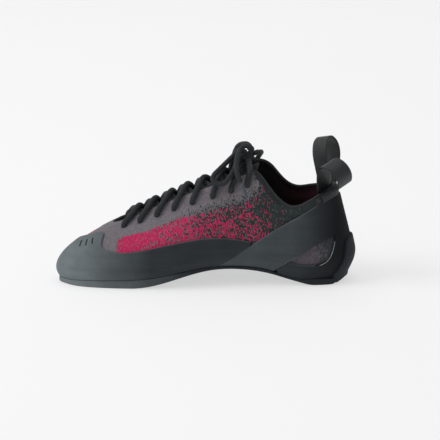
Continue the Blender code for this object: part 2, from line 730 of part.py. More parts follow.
def slab(name, edge, low, high, colour, across):
    """A plate inside an edge line. low and high give its heights at X and Y."""
    stations = spaced(0.0, 1.0, RING_COUNT // 2 + 1)
    medial, lateral = edge(stations), edge(2.0 - stations)
    v = np.linspace(0, 1, across)[None, :, None]
    plan = medial[:, None, :] * (1 - v) + lateral[:, None, :] * v
    under, over = plan.copy(), plan.copy()
    under[..., 2] = low(plan[..., 0], plan[..., 1])
    over[..., 2] = high(plan[..., 0], plan[..., 1])
    return shell(name, under, over, colour)


def sole_edge(r):
    """The sole's outline: the feather edge moved out past the rand, and further under the heel wrap."""
    station = np.where(r > 1.0, 2.0 - r, r)
    share = np.clip((station - WRAP_BLEND[0]) / (WRAP_BLEND[1] - WRAP_BLEND[0]), 0, 1)
    share = share**2 * (3 - 2 * share)
    return feather(r) - inward(r) * (RUBBER + BOND + WELT + HEEL_WRAP_THICKNESS * share)[..., None]


def make_outsole():
    """The smooth outsole: thick under the ball, thin in the arch, wrapped up the back of the heel."""
    plate = slab("outsole", sole_edge, lambda x, y: between_sides(x, y, 3), lambda x, y: bed(x, y) - GAP,
                 "rubber", across=7)
    first = HEEL_WRAP_TOP[0][0]
    rs = stations_between(first, 2.0 - first, finer=(first, 2.0 - first))
    high = []
    for r in rs:
        station = r if r <= 1.0 else 2.0 - r
        high.append(t_at_height(r, at_station(HEEL_WRAP_TOP, station) * HEEL_WRAP_HEIGHT))
    t = wall_columns(np.zeros(len(rs)), np.array(high), 6)
    base = BOND + RUBBER + WELT
    r = rs[:, None]
    thick = HEEL_WRAP_THICKNESS * np.linspace(1, 0.65, 6)[None, :]
    inner = offset(r, t, np.full(t.shape, base))
    outer = offset(r, t, base + thick * np.ones_like(t))
    foot = feather(rs)
    foot[:, 2] = (seat(rs) + ground(rs)) / 2
    inner[:, 0] = foot - inward(rs) * base
    outer[:, 0] = foot - inward(rs) * (base + HEEL_WRAP_THICKNESS)
    wrap = shell("heel_wrap", outer, inner, "rubber")
    return boolean(plate, [wrap], "UNION")


def make_insole():
    """The lasting board that closes the upper underneath, on its margin."""
    def edge(r):
        return feather(r) + inward(r) * (UPPER_WALL * 1.1 + WELT)

    base = UPPER_WALL + BOND + GAP
    return slab("insole", edge, lambda x, y: bed(x, y) + base,
                lambda x, y: bed(x, y) + base + INSOLE_THICKNESS, "lining", across=5)


def throat_bridge(s, v):
    """The surface across the throat, from the medial edge (v = 0) to the lateral one."""
    points, leave = [], []
    for r in (s, 2.0 - s):
        points.append(skin(r, 1.0))
        step = skin(r, 1.0) - skin(r, 0.97)
        leave.append(step / np.linalg.norm(step))
    width = np.linalg.norm(points[1] - points[0])
    across = (points[1] - points[0]) / width
    leave = [leave[0] + across, leave[1] - across]
    reach = [way / np.linalg.norm(way) * width * 0.3 for way in leave]
    return bezier(points[0], points[0] + reach[0], points[1] + reach[1], points[1], np.asarray(v, float))


def tongue_rows():
    """The surface under the throat, row by row from the toe end to the tongue's top."""
    under = np.array(WALL_COLUMNS[-3:])
    middle = np.linspace(0, 1, 6)[1:-1]
    fans = np.linspace(0.05, -0.05, 10)
    rows = [skin(fans % 2.0, np.full_like(fans, under[0]))]
    for s in [0.10, 0.17, 0.24, 0.31, 0.39, 0.47, 0.54, 0.61, 0.67]:
        medial = skin(np.full_like(under, s), under)
        lateral = skin(np.full_like(under, 2.0 - s), under)[::-1]
        rows.append(np.concatenate([medial, throat_bridge(s, middle), lateral]))
    rise = rows[-1] - rows[-2]
    rise = rise / np.linalg.norm(rise, axis=1)[:, None]
    spread = np.linspace(-1, 1, 10)[:, None]
    last = rows[-1]
    for reach in (0.5, 1.0):
        crown = (1 - spread**2) * TONGUE_THICKNESS * reach
        narrow = np.array([0.0, -1.0, 0.0]) * spread * reach * TONGUE_THICKNESS
        rows.append(last + rise * (reach * TONGUE_REACH + crown) + narrow)
    return np.array(rows)


def make_tongue():
    """The padded tongue, tucked under both eyestays."""
    surface = tongue_rows()
    along = np.gradient(surface, axis=0)
    across = np.gradient(surface, axis=1)
    out = np.cross(along, across)
    out = out / np.linalg.norm(out, axis=-1)[..., None]
    out = np.where(out[..., 2:] < 0, -out, out)
    top = surface - out * (UPPER_WALL + BOND)
    return shell("tongue", top, top - out * TONGUE_THICKNESS, "lining")


def make_heel_tab():
    """The woven tab sewn over the top of the heel, above the rubber."""
    rs = stations_between(TAB_START, 2.0 - TAB_START)
    line = [(along, height + SEAM / HEEL_HEIGHT) for along, height in SLING_TOP]
    low = [t_on_line(r, line) for r in rs]
    return rubber_patch("heel_tab", rs, low, np.full(len(rs), 0.995), 4, thickness=TAB_THICKNESS,
                        edge=TAB_THICKNESS, colour="webbing")


def make_pull_loop(name, medial, height, route):
    """A webbing loop over the collar's edge: one leg outside, one inside, and a teardrop above."""
    r = LOOP_STATION if medial else 2.0 - LOOP_STATION
    edge = skin(r, 1.0)
    step = 0.02
    along = (skin(r + step, 1.0) - skin(r - step, 1.0)) / (2 * step)
    pace = np.linalg.norm(along)
    along = along / pace
    out = np.array([along[1], -along[0], 0.0])
    out = out / np.linalg.norm(out)
    up = np.cross(out, along)
    up = up if up[2] > 0 else -up
    rise = skin(r, 1.0) - skin(r, 0.9)
    t_pace = 0.1 / np.linalg.norm(rise)
    leg_out = BOND + TAB_THICKNESS + GAP + WEBBING_THICKNESS / 2
    leg_in = -(UPPER_WALL + WELT + WEBBING_THICKNESS / 2)
    route = [(leg_out, -LOOP_FOOT), (leg_out, -LOOP_FOOT / 2), (leg_out, 0.0)] + [
        (n * height, z * height) for n, z in route
    ] + [(leg_in, 0.0), (leg_in, -LOOP_FOOT / 2), (leg_in, -LOOP_FOOT)]
    path = smooth_path([(n, z, 0.0) for n, z in route], 25)
    columns = []
    for w in np.linspace(-0.5, 0.5, 3) * WEBBING_WIDTH:
        column = []
        for n, z, _ in path:
            free = edge + along * w + out * n + up * z
            worn = offset(r + w / pace, min(1.0, 1.0 + z * t_pace), np.array(n)) + up * max(z, 0.0)
            blend = np.clip(z / (height * 0.4), 0, 1)
            blend = blend**2 * (3 - 2 * blend)
            column.append(worn * (1 - blend) + free * blend)
        columns.append(column)
    middle = np.array(columns).transpose(1, 0, 2)
    side = np.cross(np.gradient(middle, axis=0), np.gradient(middle, axis=1))
    side = side / np.linalg.norm(side, axis=-1)[..., None] * WEBBING_THICKNESS / 2
    return shell(name, middle + side, middle - side, "webbing")


def lace_strand(first_medial):
    """One run of the lace: a short turn at each eyelet, then over the tongue to the other side."""
    lift = LACE_DIAMETER / 2 + GAP
    count = len(EYELETS_ALONG)
    points = [throat_bridge(TOE_BAR_STATION, np.array(0.5)) + np.array([0, 0, lift + LACE_RISE])]
    for k in range(count):
        medial = first_medial if k % 2 == 0 else not first_medial
        r, t = eyelet(k, medial)
        ahead = LACE_TURN if medial else -LACE_TURN
        edge = np.array(lift + LACE_RISE)
        points += [
            offset(r - ahead, 1.0, edge),
            offset(r - ahead * 0.7, (1.0 + t) / 2, edge),
            offset(r, t, np.array(lift)),
            offset(r + ahead * 0.7, (1.0 + t) / 2, edge),
            offset(r + ahead, 1.0, edge),
        ]
        if k < count - 1:
            middle = (eyelet(k, True)[0] + eyelet(k + 1, True)[0]) / 2
            over = LACE_DIAMETER * 0.4 if medial else 0.0
            points.append(throat_bridge(middle, np.array(0.5)) + np.array([0, 0, lift + LACE_RISE + over]))
    way = points[-1] - knot_centre()
    points += [at_knot(way, LACE_DIAMETER / 2), at_knot(way)]
    return points


def make_laces():
    """The lace between the eyestays: two runs that cross over the tongue and meet at the toe end."""
    first = tube("lace_crossings", smooth_path(lace_strand(True), 80), LACE_DIAMETER, "lace")
    second = tube("other_run", smooth_path(lace_strand(False), 80), LACE_DIAMETER, "lace")
    return boolean(first, [second], "UNION")


def knot_centre():
    lift = GAP + KNOT_SIZE / 2 + LACE_DIAMETER * 0.35
    return throat_bridge(KNOT_STATION, np.array(0.5)) + np.array([0, 0, lift])


def at_knot(way, out=0.0):
    """The point a gap and a further distance clear of the knot, in one direction from its centre."""
    way = np.array(way) / np.linalg.norm(way)
    return knot_centre() + way * (KNOT_SIZE / 2 + GAP + out)


def make_knot():
    """The knot of the bow, a rounded lump of crossed lace."""
    bm = bmesh.new()
    bmesh.ops.create_icosphere(bm, subdivisions=2, radius=KNOT_SIZE / 2)
    points = [np.array(v.co) + knot_centre() for v in bm.verts]
    faces = [[v.index for v in f.verts] for f in bm.faces]
    bm.free()
    return solid("lace_knot", points, faces, "lace")


def cord(name, points, diameter):
    """A cord that lies free: a bevelled curve with closed ends."""
    curve = bpy.data.curves.new(name, "CURVE")
    curve.dimensions = "3D"
    curve.bevel_depth = diameter / 2 * MM
    curve.bevel_resolution = 2
    curve.use_fill_caps = True
    spline = curve.splines.new("POLY")
    spline.points.add(len(points) - 1)
    for point, place in zip(spline.points, points):
        point.co = (*(place * MM), 1.0)
    obj = bpy.data.objects.new(name, curve)
    curve.materials.append(MATERIALS["lace"])
    bpy.context.scene.collection.objects.link(obj)
    return obj


def free_lace(name, route, returns):
    """A loop or an end of the bow, along its route from the knot."""
    points = list(knot_centre() + np.array(route[1:]) * LACE_DIAMETER)
    points = [at_knot(route[0]), at_knot(route[0], LACE_DIAMETER)] + points
    if returns:
        points[-1:] = [at_knot(route[-1], LACE_DIAMETER), at_knot(route[-1])]
    length = np.linalg.norm(np.diff(points, axis=0), axis=1).sum()
    return cord(name, smooth_path(points, int(length / LACE_DIAMETER / 1.5) + 2), LACE_DIAMETER)


def make_aglet(name, route, tip):
    """The stiff tip of a lace end, on the line that the end leaves along."""
    last = knot_centre() + np.array(route[-1]) * LACE_DIAMETER
    towards = np.array(tip) / np.linalg.norm(tip)
    start = last + towards * (GAP + LACE_DIAMETER * 0.1)
    return cord(name, np.array([start, start + towards * AGLET_LENGTH]), AGLET_DIAMETER)


def clear_scene():
    for obj in list(bpy.data.objects):
        bpy.data.objects.remove(obj, do_unlink=True)


clear_scene()
SIDES = side_lines()
MATERIALS = {name: make_material(name, *values) for name, values in COLOURS.items()}
make_upper()
make_outsole()
make_front_rand()
make_slingshot()
make_heel_cup()
make_insole()
make_tongue()
make_heel_tab()
make_pull_loop("pull_loop_medial", True, NEAR_LOOP_HEIGHT, NEAR_LOOP_PATH)
make_pull_loop("pull_loop_lateral", False, FAR_LOOP_HEIGHT, FAR_LOOP_PATH)
make_laces()
make_knot()
free_lace("bow_loop_medial", NEAR_BOW_LOOP, True)
free_lace("bow_loop_lateral", FAR_BOW_LOOP, True)
free_lace("lace_end_medial", NEAR_LACE_END, False)
free_lace("lace_end_lateral", FAR_LACE_END, False)
make_aglet("aglet_medial", NEAR_LACE_END, (0.40, -0.33, -1.0))
make_aglet("aglet_lateral", FAR_LACE_END, (-0.3, 0.3, -1.0))
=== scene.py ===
"""A knitted climbing shoe for the right foot, with its rubber, laces and bow, on a pale floor.

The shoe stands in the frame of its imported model: +X runs from the toe to the heel, -Y is the medial
side and +Z is up. The last is one function of r, round the shoe, and t, from the feather edge up,
in millimetres. Every piece is a grid laid on it.
"""

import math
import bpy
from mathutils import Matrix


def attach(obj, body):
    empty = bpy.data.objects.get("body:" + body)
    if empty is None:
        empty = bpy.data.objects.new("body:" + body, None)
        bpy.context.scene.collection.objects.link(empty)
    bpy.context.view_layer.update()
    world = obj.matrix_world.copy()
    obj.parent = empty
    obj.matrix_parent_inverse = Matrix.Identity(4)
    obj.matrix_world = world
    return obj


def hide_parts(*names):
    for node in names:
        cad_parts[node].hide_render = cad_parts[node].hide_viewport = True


bl_info = {
    "name": "Climbing Shoe",
    "version": (1, 0, 0),
    "blender": (4, 5, 0),
    "location": "3D View > Sidebar > Shoe",
    "description": "Builds a knitted climbing shoe with rubber rands, laces and a bow",
    "category": "Add Mesh",
}

import bpy
import numpy as np
from bpy.props import FloatProperty, FloatVectorProperty, PointerProperty, StringProperty
from mathutils import Vector

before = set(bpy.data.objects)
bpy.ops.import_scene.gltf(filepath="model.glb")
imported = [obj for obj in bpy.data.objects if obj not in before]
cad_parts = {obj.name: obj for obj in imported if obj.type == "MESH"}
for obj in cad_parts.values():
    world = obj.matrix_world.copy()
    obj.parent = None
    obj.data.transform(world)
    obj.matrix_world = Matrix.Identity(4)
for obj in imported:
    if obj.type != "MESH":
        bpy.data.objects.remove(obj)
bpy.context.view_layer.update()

MM = 0.001

# Driving sizes
SHOE_LENGTH = 260.0
BALL_WIDTH = 90.0
HEEL_WIDTH = 60.0
INSTEP_HEIGHT = 98.8
HEEL_HEIGHT = 84.6
ARCH_HEIGHT = 14.4
SOLE_EDGE = 7.6
WIDEST_HEIGHT = 30.0
EDGE_TUCK = 6.5

# Walls, gaps and widths of the pieces
UPPER_WALL = 2.0
RUBBER = 1.8
GAP = 0.3
BOND = 0.45
WELT = 0.7
LASTING_MARGIN = 11.0
INSOLE_THICKNESS = 2.0
TONGUE_THICKNESS = 2.6
TONGUE_REACH = 7.0
TAB_THICKNESS = 1.0
HEEL_WRAP_THICKNESS = 1.9
HEEL_WRAP_HEIGHT = 40.5
WEBBING_WIDTH = 18.0
WEBBING_THICKNESS = 1.3
SEAM = 0.9
LACE_DIAMETER = 4.0
EYELET_DIAMETER = 4.6
EYELET_MARGIN = 10.5
KNOT_SIZE = 10.0
AGLET_LENGTH = 14.0
AGLET_DIAMETER = 2.8

WIDEST_T = 0.2

LAST_SIZES = {"ball": BALL_WIDTH / 2, "heel": HEEL_WIDTH / 2}
TOP_SIZES = {"throat": (BALL_WIDTH / 2, INSTEP_HEIGHT), "collar": (HEEL_WIDTH / 2, HEEL_HEIGHT)}

# The last's sections, toe to heel. along is a share of the upper's length, across of half the ball or
# heel width, wide of WIDEST_HEIGHT, tuck of EDGE_TUCK, arch of ARCH_HEIGHT and sole of SOLE_EDGE.
# station, follows, along, across, wide, tuck, arch, sole
MEDIAL_SECTIONS = [
    (0.00, "ball", 0.000, -0.480, 0.43, 0.50, -0.04, 0.62),
    (0.07, "ball", 0.016, -0.655, 0.43, 0.50, -0.04, 0.64),
    (0.14, "ball", 0.054, -0.830, 0.45, 0.48, -0.04, 0.72),
    (0.22, "ball", 0.125, -0.955, 0.50, 0.46, -0.04, 0.87),
    (0.30, "ball", 0.220, -1.000, 0.54, 0.46, -0.03, 0.98),
    (0.38, "ball", 0.322, -0.985, 0.62, 0.50, 0.11, 1.00),
    (0.46, "ball", 0.425, -0.910, 0.82, 0.68, 0.57, 0.71),
    (0.55, "ball", 0.528, -0.795, 1.00, 0.90, 0.96, 0.47),
    (0.65, "heel", 0.630, -1.065, 1.07, 1.00, 0.97, 0.41),
    (0.77, "heel", 0.733, -1.010, 1.00, 0.92, 0.67, 0.42),
    (0.86, "heel", 0.835, -0.995, 0.88, 0.85, 0.16, 0.53),
    (0.91, "heel", 0.922, -0.880, 0.87, 0.85, -0.14, 0.82),
    (0.955, "heel", 0.973, -0.580, 0.88, 0.92, 0.13, 0.56),
    (1.00, "heel", 1.000, 0.000, 0.88, 1.00, 0.36, 0.36),
]
LATERAL_SECTIONS = [
    (0.955, "heel", 0.973, 0.580, 0.88, 0.92, 0.13, 0.56),
    (0.91, "heel", 0.922, 0.890, 0.87, 0.85, -0.14, 0.82),
    (0.86, "heel", 0.835, 1.020, 0.86, 0.80, 0.12, 0.54),
    (0.77, "heel", 0.733, 1.105, 0.85, 0.74, 0.45, 0.44),
    (0.65, "heel", 0.630, 1.240, 0.83, 0.66, 0.63, 0.45),
    (0.55, "ball", 0.528, 0.925, 0.77, 0.58, 0.52, 0.55),
    (0.46, "ball", 0.425, 0.990, 0.66, 0.52, 0.18, 0.83),
    (0.38, "ball", 0.322, 0.980, 0.58, 0.50, -0.03, 1.00),
    (0.30, "ball", 0.228, 0.870, 0.54, 0.48, -0.04, 0.97),
    (0.22, "ball", 0.140, 0.660, 0.50, 0.48, -0.04, 0.86),
    (0.14, "ball", 0.066, 0.310, 0.46, 0.48, -0.04, 0.74),
    (0.07, "ball", 0.019, -0.125, 0.43, 0.50, -0.04, 0.65),
]

# The edge of the throat and collar. along is a share of the upper's length, and across and height are
# shares of half the ball width and the instep height, or of half the heel width and the heel height.
# station, follows, along, across, height
MEDIAL_TOP_LINE = [
    (0.00, "throat", 0.184, -0.110, 0.503),
    (0.07, "throat", 0.190, -0.215, 0.505),
    (0.14, "throat", 0.201, -0.270, 0.517),
    (0.22, "throat", 0.222, -0.293, 0.538),
    (0.30, "throat", 0.275, -0.304, 0.593),
    (0.38, "throat", 0.350, -0.311, 0.680),
    (0.46, "throat", 0.433, -0.322, 0.771),
    (0.55, "throat", 0.520, -0.340, 0.857),
    (0.62, "throat", 0.590, -0.360, 0.923),
    (0.67, "throat", 0.642, -0.396, 0.977),
    (0.71, "throat", 0.673, -0.445, 1.000),
    (0.745, "throat", 0.700, -0.496, 0.944),
    (0.78, "throat", 0.727, -0.540, 0.850),
    (0.82, "collar", 0.761, -0.873, 0.884),
    (0.86, "collar", 0.800, -0.900, 0.826),
    (0.91, "collar", 0.851, -0.835, 0.866),
    (0.955, "collar", 0.906, -0.550, 0.945),
    (1.00, "collar", 0.946, 0.000, 1.000),
]
LATERAL_TOP_LINE = [
    (0.955, "collar", 0.908, 0.550, 0.952),
    (0.91, "collar", 0.858, 0.830, 0.910),
    (0.86, "collar", 0.812, 0.900, 0.893),
    (0.82, "collar", 0.774, 0.873, 0.950),
    (0.78, "throat", 0.741, 0.540, 0.910),
    (0.745, "throat", 0.716, 0.496, 0.982),
    (0.71, "throat", 0.682, 0.440, 1.018),
    (0.67, "throat", 0.646, 0.378, 0.980),
    (0.62, "throat", 0.590, 0.305, 0.926),
    (0.55, "throat", 0.520, 0.245, 0.859),
    (0.46, "throat", 0.433, 0.205, 0.771),
    (0.38, "throat", 0.350, 0.167, 0.678),
    (0.30, "throat", 0.275, 0.135, 0.590),
    (0.22, "throat", 0.222, 0.095, 0.535),
    (0.14, "throat", 0.201, 0.058, 0.515),
    (0.07, "throat", 0.190, -0.005, 0.504),
]

# How the wall climbs from its widest line to the top line: the Bezier handles as shares of the chord,
# and the slope at the top line in degrees.
# station, low handle, high handle, slope
WALL_PROFILE = [
    (0.00, 0.22, 0.42, 22),
    (0.08, 0.22, 0.42, 22),
    (0.15, 0.25, 0.40, 25),
    (0.22, 0.31, 0.37, 31),
    (0.30, 0.35, 0.35, 38),
    (0.38, 0.37, 0.34, 42),
    (0.46, 0.37, 0.33, 45),
    (0.55, 0.36, 0.32, 49),
    (0.65, 0.34, 0.30, 58),
    (0.71, 0.33, 0.30, 66),
    (0.78, 0.32, 0.30, 76),
    (0.86, 0.29, 0.32, 83),
    (0.93, 0.20, 0.34, 80),
    (1.00, 0.12, 0.38, 77),
]

# Top edge of the front rand, by station, as a share of the instep height: a high lobe over the big toe
# on the medial side, and a lower edge along the lateral side.
MEDIAL_RAND_TOP = [
    (0.00, 0.375), (0.05, 0.400), (0.10, 0.425), (0.15, 0.440), (0.185, 0.435), (0.205, 0.405),
    (0.225, 0.350), (0.25, 0.325), (0.28, 0.315), (0.31, 0.314), (0.36, 0.338), (0.41, 0.375),
    (0.46, 0.408), (0.52, 0.438), (0.58, 0.440), (0.64, 0.425), (0.70, 0.392), (0.80, 0.340),
]
LATERAL_RAND_TOP = [
    (0.05, 0.350), (0.10, 0.325), (0.16, 0.300), (0.22, 0.282), (0.30, 0.272), (0.38, 0.280),
    (0.46, 0.300), (0.54, 0.322), (0.62, 0.330), (0.70, 0.320), (0.80, 0.300),
]

# Edges of the slingshot band behind the arch. along is a share of the shoe's length, height of the
# heel height.
SLING_TOP = [
    (0.50, 0.195), (0.536, 0.222), (0.560, 0.254), (0.660, 0.452), (0.729, 0.591), (0.815, 0.742),
    (0.865, 0.834), (0.885, 0.872), (0.930, 0.905), (0.950, 0.912), (1.00, 0.925),
]
SLING_LOW = [
    (0.60, -0.05), (0.728, 0.156), (0.783, 0.271), (0.823, 0.345), (0.867, 0.442), (0.919, 0.515),
    (0.955, 0.530), (1.00, 0.530),
]
# How high the outsole wraps up the heel, by station, as a share of HEEL_WRAP_HEIGHT
HEEL_WRAP_TOP = [
    (0.925, 0.24), (0.938, 0.36), (0.947, 0.52), (0.955, 0.72), (0.963, 0.88), (0.975, 0.96), (1.0, 1.0),
]

# Stations at which the slingshot and the heel tab start, the least t of the heel cup's edge, and the
# stations between which the sole grows out to its heel wrap
SLING_START = 0.56
TAB_START = 0.93
CUP_TIP = 0.04
WRAP_BLEND = (0.87, 0.935)

# Shares of the upper's length at which the eyelets lie
EYELETS_ALONG = [0.226, 0.282, 0.340, 0.398, 0.461, 0.530, 0.592, 0.647]

# Pull loops: outward of the collar edge and up from it, as shares of each loop's height
NEAR_LOOP_HEIGHT = 29.0
FAR_LOOP_HEIGHT = 40.0
LOOP_FOOT = 7.0
NEAR_LOOP_PATH = [
    (0.26, 0.06), (0.56, 0.16), (0.78, 0.38), (0.82, 0.66), (0.66, 0.91), (0.38, 1.00), (0.12, 0.86),
    (0.00, 0.54), (-0.07, 0.20),
]
FAR_LOOP_PATH = [
    (0.10, 0.10), (0.20, 0.33), (0.29, 0.62), (0.26, 0.86), (0.12, 1.00), (-0.03, 0.90), (-0.10, 0.66),
    (-0.09, 0.36), (-0.07, 0.12),
]
LOOP_STATION = 0.964

# Bow: routes of the free laces, each point along, across and up from the knot's centre, in lace
# diameters. They are two loose loops, one to each side, and two ends. A point beside the knot only
# gives the direction in which the lace leaves it.
KNOT_STATION = 0.672
NEAR_BOW_LOOP = [
    (-0.75, 0.05, 0.68), (-2.9, -1.1, 0.5), (-4.5, -2.8, -0.8), (-5.9, -4.0, -2.0), (-7.0, -5.0, -3.0),
    (-7.2, -5.8, -3.9), (-6.3, -6.2, -4.6), (-4.7, -6.3, -4.4), (-3.3, -5.8, -2.7), (-2.4, -4.4, -1.2),
    (-0.8, -0.65, -0.05),
]
FAR_BOW_LOOP = [
    (0.81, 0.5, 0.3), (2.4, 2.2, 0.5), (2.8, 4.0, 0.1), (2.3, 6.1, -1.1), (0.9, 7.9, -3.8),
    (-1.0, 9.0, -6.4), (-2.6, 9.2, -6.9), (-3.0, 8.4, -4.9), (-2.0, 6.6, -2.0), (-1.2, 4.4, -0.1),
    (-0.3, 0.85, 0.25),
]
NEAR_LACE_END = [
    (0.3, -0.6, 0.74), (0.95, -1.15, 1.9), (0.1, -0.95, 2.5), (-0.9, -0.95, 2.4), (-1.6, -1.5, 1.7),
    (-1.95, -2.8, 1.15), (-2.2, -4.4, 0.3), (-2.2, -5.9, -0.95), (-1.9, -7.0, -2.45), (-1.1, -7.5, -4.0),
]
FAR_LACE_END = [
    (0.15, 0.35, 0.92), (-0.6, 1.9, 2.4), (-2.2, 3.6, 1.5), (-3.3, 5.4, -1.1), (-4.0, 7.0, -4.0),
    (-4.5, 8.2, -6.5),
]

UPPER_START = RUBBER + BOND
UPPER_LENGTH = SHOE_LENGTH - UPPER_START - (BOND + RUBBER + WELT + HEEL_WRAP_THICKNESS)
MIDDLE = SHOE_LENGTH / 2


def ring_spline(knots, values):
    """The closed C2 cubic through values at the knots, with a period of 2 in r."""
    knots = np.asarray(knots, float)
    values = np.asarray(values, float)
    count = len(knots)
    width = np.diff(np.append(knots, knots[0] + 2.0))
    rise = np.roll(values, -1) - values
    matrix = np.zeros((count, count))
    right = np.zeros(count)
    for i in range(count):
        before = (i - 1) % count
        matrix[i, before] = width[before]
        matrix[i, i] = 2 * (width[before] + width[i])
        matrix[i, (i + 1) % count] = width[i]
        right[i] = 6 * (rise[i] / width[i] - rise[before] / width[before])
    bend = np.linalg.solve(matrix, right)

    def curve(r):
        r = np.mod(np.asarray(r, float) - knots[0], 2.0) + knots[0]
        i = np.clip(np.searchsorted(knots, r, side="right") - 1, 0, count - 1)
        j = (i + 1) % count
        h = width[i]
        a = knots[i] + h - r
        b = r - knots[i]
        return (
            (bend[i] * a**3 + bend[j] * b**3) / (6 * h)
            + (values[i] / h - bend[i] * h / 6) * a
            + (values[j] / h - bend[j] * h / 6) * b
        )

    return curve


def ring_rows(medial, lateral):
    """Rows of both sides in one ring, with the station turned into r."""
    return [(row[0], *row[1:]) for row in medial] + [(2.0 - row[0], *row[1:]) for row in lateral]


def both_sides(rows):
    """The same rows on both sides, without doubling the toe and the heel."""
    return ring_rows(rows, [row for row in reversed(rows) if 0.0 < row[0] < 1.0])


def along_to_x(share):
    """X of a share of the upper's length, with the shoe's middle at 0."""
    return UPPER_START + share * UPPER_LENGTH - MIDDLE


def shape_curves():
    """Every line of the last as a function of r."""
    wall = ring_rows(MEDIAL_SECTIONS, LATERAL_SECTIONS)
    top = ring_rows(MEDIAL_TOP_LINE, LATERAL_TOP_LINE)
    profile = both_sides(WALL_PROFILE)
    r_wall = [row[0] for row in wall]
    r_top = [row[0] for row in top]
    r_profile = [row[0] for row in profile]
    ground = [row[6] * ARCH_HEIGHT for row in wall]
    sole = [row[7] * SOLE_EDGE for row in wall]
    return {
        "wall_x": ring_spline(r_wall, [along_to_x(row[2]) for row in wall]),
        "wall_y": ring_spline(r_wall, [row[3] * LAST_SIZES[row[1]] for row in wall]),
        "wall_z": ring_spline(r_wall, [row[4] * WIDEST_HEIGHT for row in wall]),
        "tuck": ring_spline(r_wall, [row[5] * EDGE_TUCK for row in wall]),
        "ground": ring_spline(r_wall, ground),
        "seat": ring_spline(r_wall, [max(g, 0.0) + s for g, s in zip(ground, sole)]),
        "top_x": ring_spline(r_top, [along_to_x(row[2]) for row in top]),
        "top_y": ring_spline(r_top, [row[3] * TOP_SIZES[row[1]][0] for row in top]),
        "top_z": ring_spline(r_top, [row[4] * TOP_SIZES[row[1]][1] for row in top]),
        "low": ring_spline(r_profile, [row[1] for row in profile]),
        "high": ring_spline(r_profile, [row[2] for row in profile]),
        "slope": ring_spline(r_profile, [math.radians(row[3]) for row in profile]),
    }


CURVES = shape_curves()


def stack(x, y, z):
    return np.stack(np.broadcast_arrays(x, y, z), axis=-1)


def unit(vectors):
    return vectors / np.linalg.norm(vectors, axis=-1, keepdims=True)


def run_along(path):
    """The length of a path up to each of its points."""
    return np.concatenate([[0], np.cumsum(np.linalg.norm(np.diff(path, axis=0), axis=1))])


def between(wanted, run, points):
    """Points at the wanted lengths of a path."""
    return np.stack([np.interp(wanted, run, points[:, k]) for k in range(3)], axis=1)


def smooth_step(share):
    share = np.clip(share, 0, 1)
    return share**2 * (3 - 2 * share)


def from_table(rows, value):
    """A value between the rows of a table of two columns."""
    return np.interp(value, [row[0] for row in rows], [row[1] for row in rows])


def inward(r):
    """The level unit vector at r that points into the shoe."""
    step = 1e-4
    dx = CURVES["wall_x"](r + step) - CURVES["wall_x"](r - step)
    dy = CURVES["wall_y"](r + step) - CURVES["wall_y"](r - step)
    length = np.hypot(dx, dy)
    return stack(-dy / length, dx / length, 0.0)


def seat(r):
    return CURVES["seat"](r)


def ground(r):
    """The sole's lower edge: flat on the floor under the ball and the heel, arched between them."""
    return np.maximum(CURVES["ground"](r), 0.0)


def feather(r):
    """The edge between the wall and the lasting margin."""
    point = stack(CURVES["wall_x"](r), CURVES["wall_y"](r), seat(r))
    return point + inward(r) * CURVES["tuck"](r)[..., None]


def bezier(p0, p1, p2, p3, v):
    v = v[..., None]
    u = 1 - v
    return u**3 * p0 + 3 * u**2 * v * p1 + 3 * u * v**2 * p2 + v**3 * p3


def skin(r, t):
    """The upper's outer surface at r and t."""
    r, t = np.broadcast_arrays(np.asarray(r, float), np.asarray(t, float))
    wall = stack(CURVES["wall_x"](r), CURVES["wall_y"](r), CURVES["wall_z"](r))
    top = stack(CURVES["top_x"](r), CURVES["top_y"](r), CURVES["top_z"](r))
    foot = feather(r)
    rise = (wall[..., 2] - foot[..., 2])[..., None]
    up = np.array([0.0, 0.0, 1.0])
    out = -inward(r) * CURVES["tuck"](r)[..., None]
    lower = bezier(foot, foot + 0.4 * out + 0.33 * rise * up, wall - 0.4 * rise * up, wall,
                   np.clip(t / WIDEST_T, 0, 1))
    chord = np.linalg.norm(top - wall, axis=-1)[..., None]
    level = top - wall
    level[..., 2] = 0.0
    level = unit(level)
    slope = CURVES["slope"](r)[..., None]
    arrive = level * np.cos(slope) + up * np.sin(slope)
    upper = bezier(wall, wall + up * chord * CURVES["low"](r)[..., None],
                   top - arrive * chord * CURVES["high"](r)[..., None], top,
                   np.clip((t - WIDEST_T) / (1 - WIDEST_T), 0, 1))
    return np.where((t < WIDEST_T)[..., None], lower, upper)


def normal(r, t):
    """The unit vector out of the skin."""
    r, t = np.broadcast_arrays(np.asarray(r, float), np.asarray(t, float))
    step = 1e-3
    low = np.clip(t - step, 0, 1)
    high = np.clip(t + step, 0, 1)
    return unit(np.cross(skin(r + step, t) - skin(r - step, t), skin(r, high) - skin(r, low)))


def offset(r, t, distance):
    """The skin moved out by a distance, or in by a negative one."""
    distance = np.asarray(distance, float)
    return skin(r, t) + normal(r, t) * distance[..., None]


def t_at_height(r, height):
    """The t at which the wall at one r reaches a height."""
    ts = np.linspace(0, 1, 241)
    zs = skin(np.full_like(ts, r), ts)[:, 2]
    return float(np.interp(height, zs, ts))


def t_on_line(r, line):
    """The t at which the wall at one r crosses a line of shares of the length and the heel height."""
    ts = np.linspace(0, 1, 241)
    points = skin(np.full_like(ts, r), ts)
    along = (points[:, 0] + MIDDLE) / SHOE_LENGTH
    limit = from_table(line, along) * HEEL_HEIGHT
    above = np.nonzero(points[:, 2] >= limit)[0]
    if len(above) == 0:
        return 1.0
    first = above[0]
    if first == 0:
        return 0.0
    rise = points[:, 2] - limit
    return float(np.interp(0.0, rise[first - 1:first + 1], ts[first - 1:first + 1]))


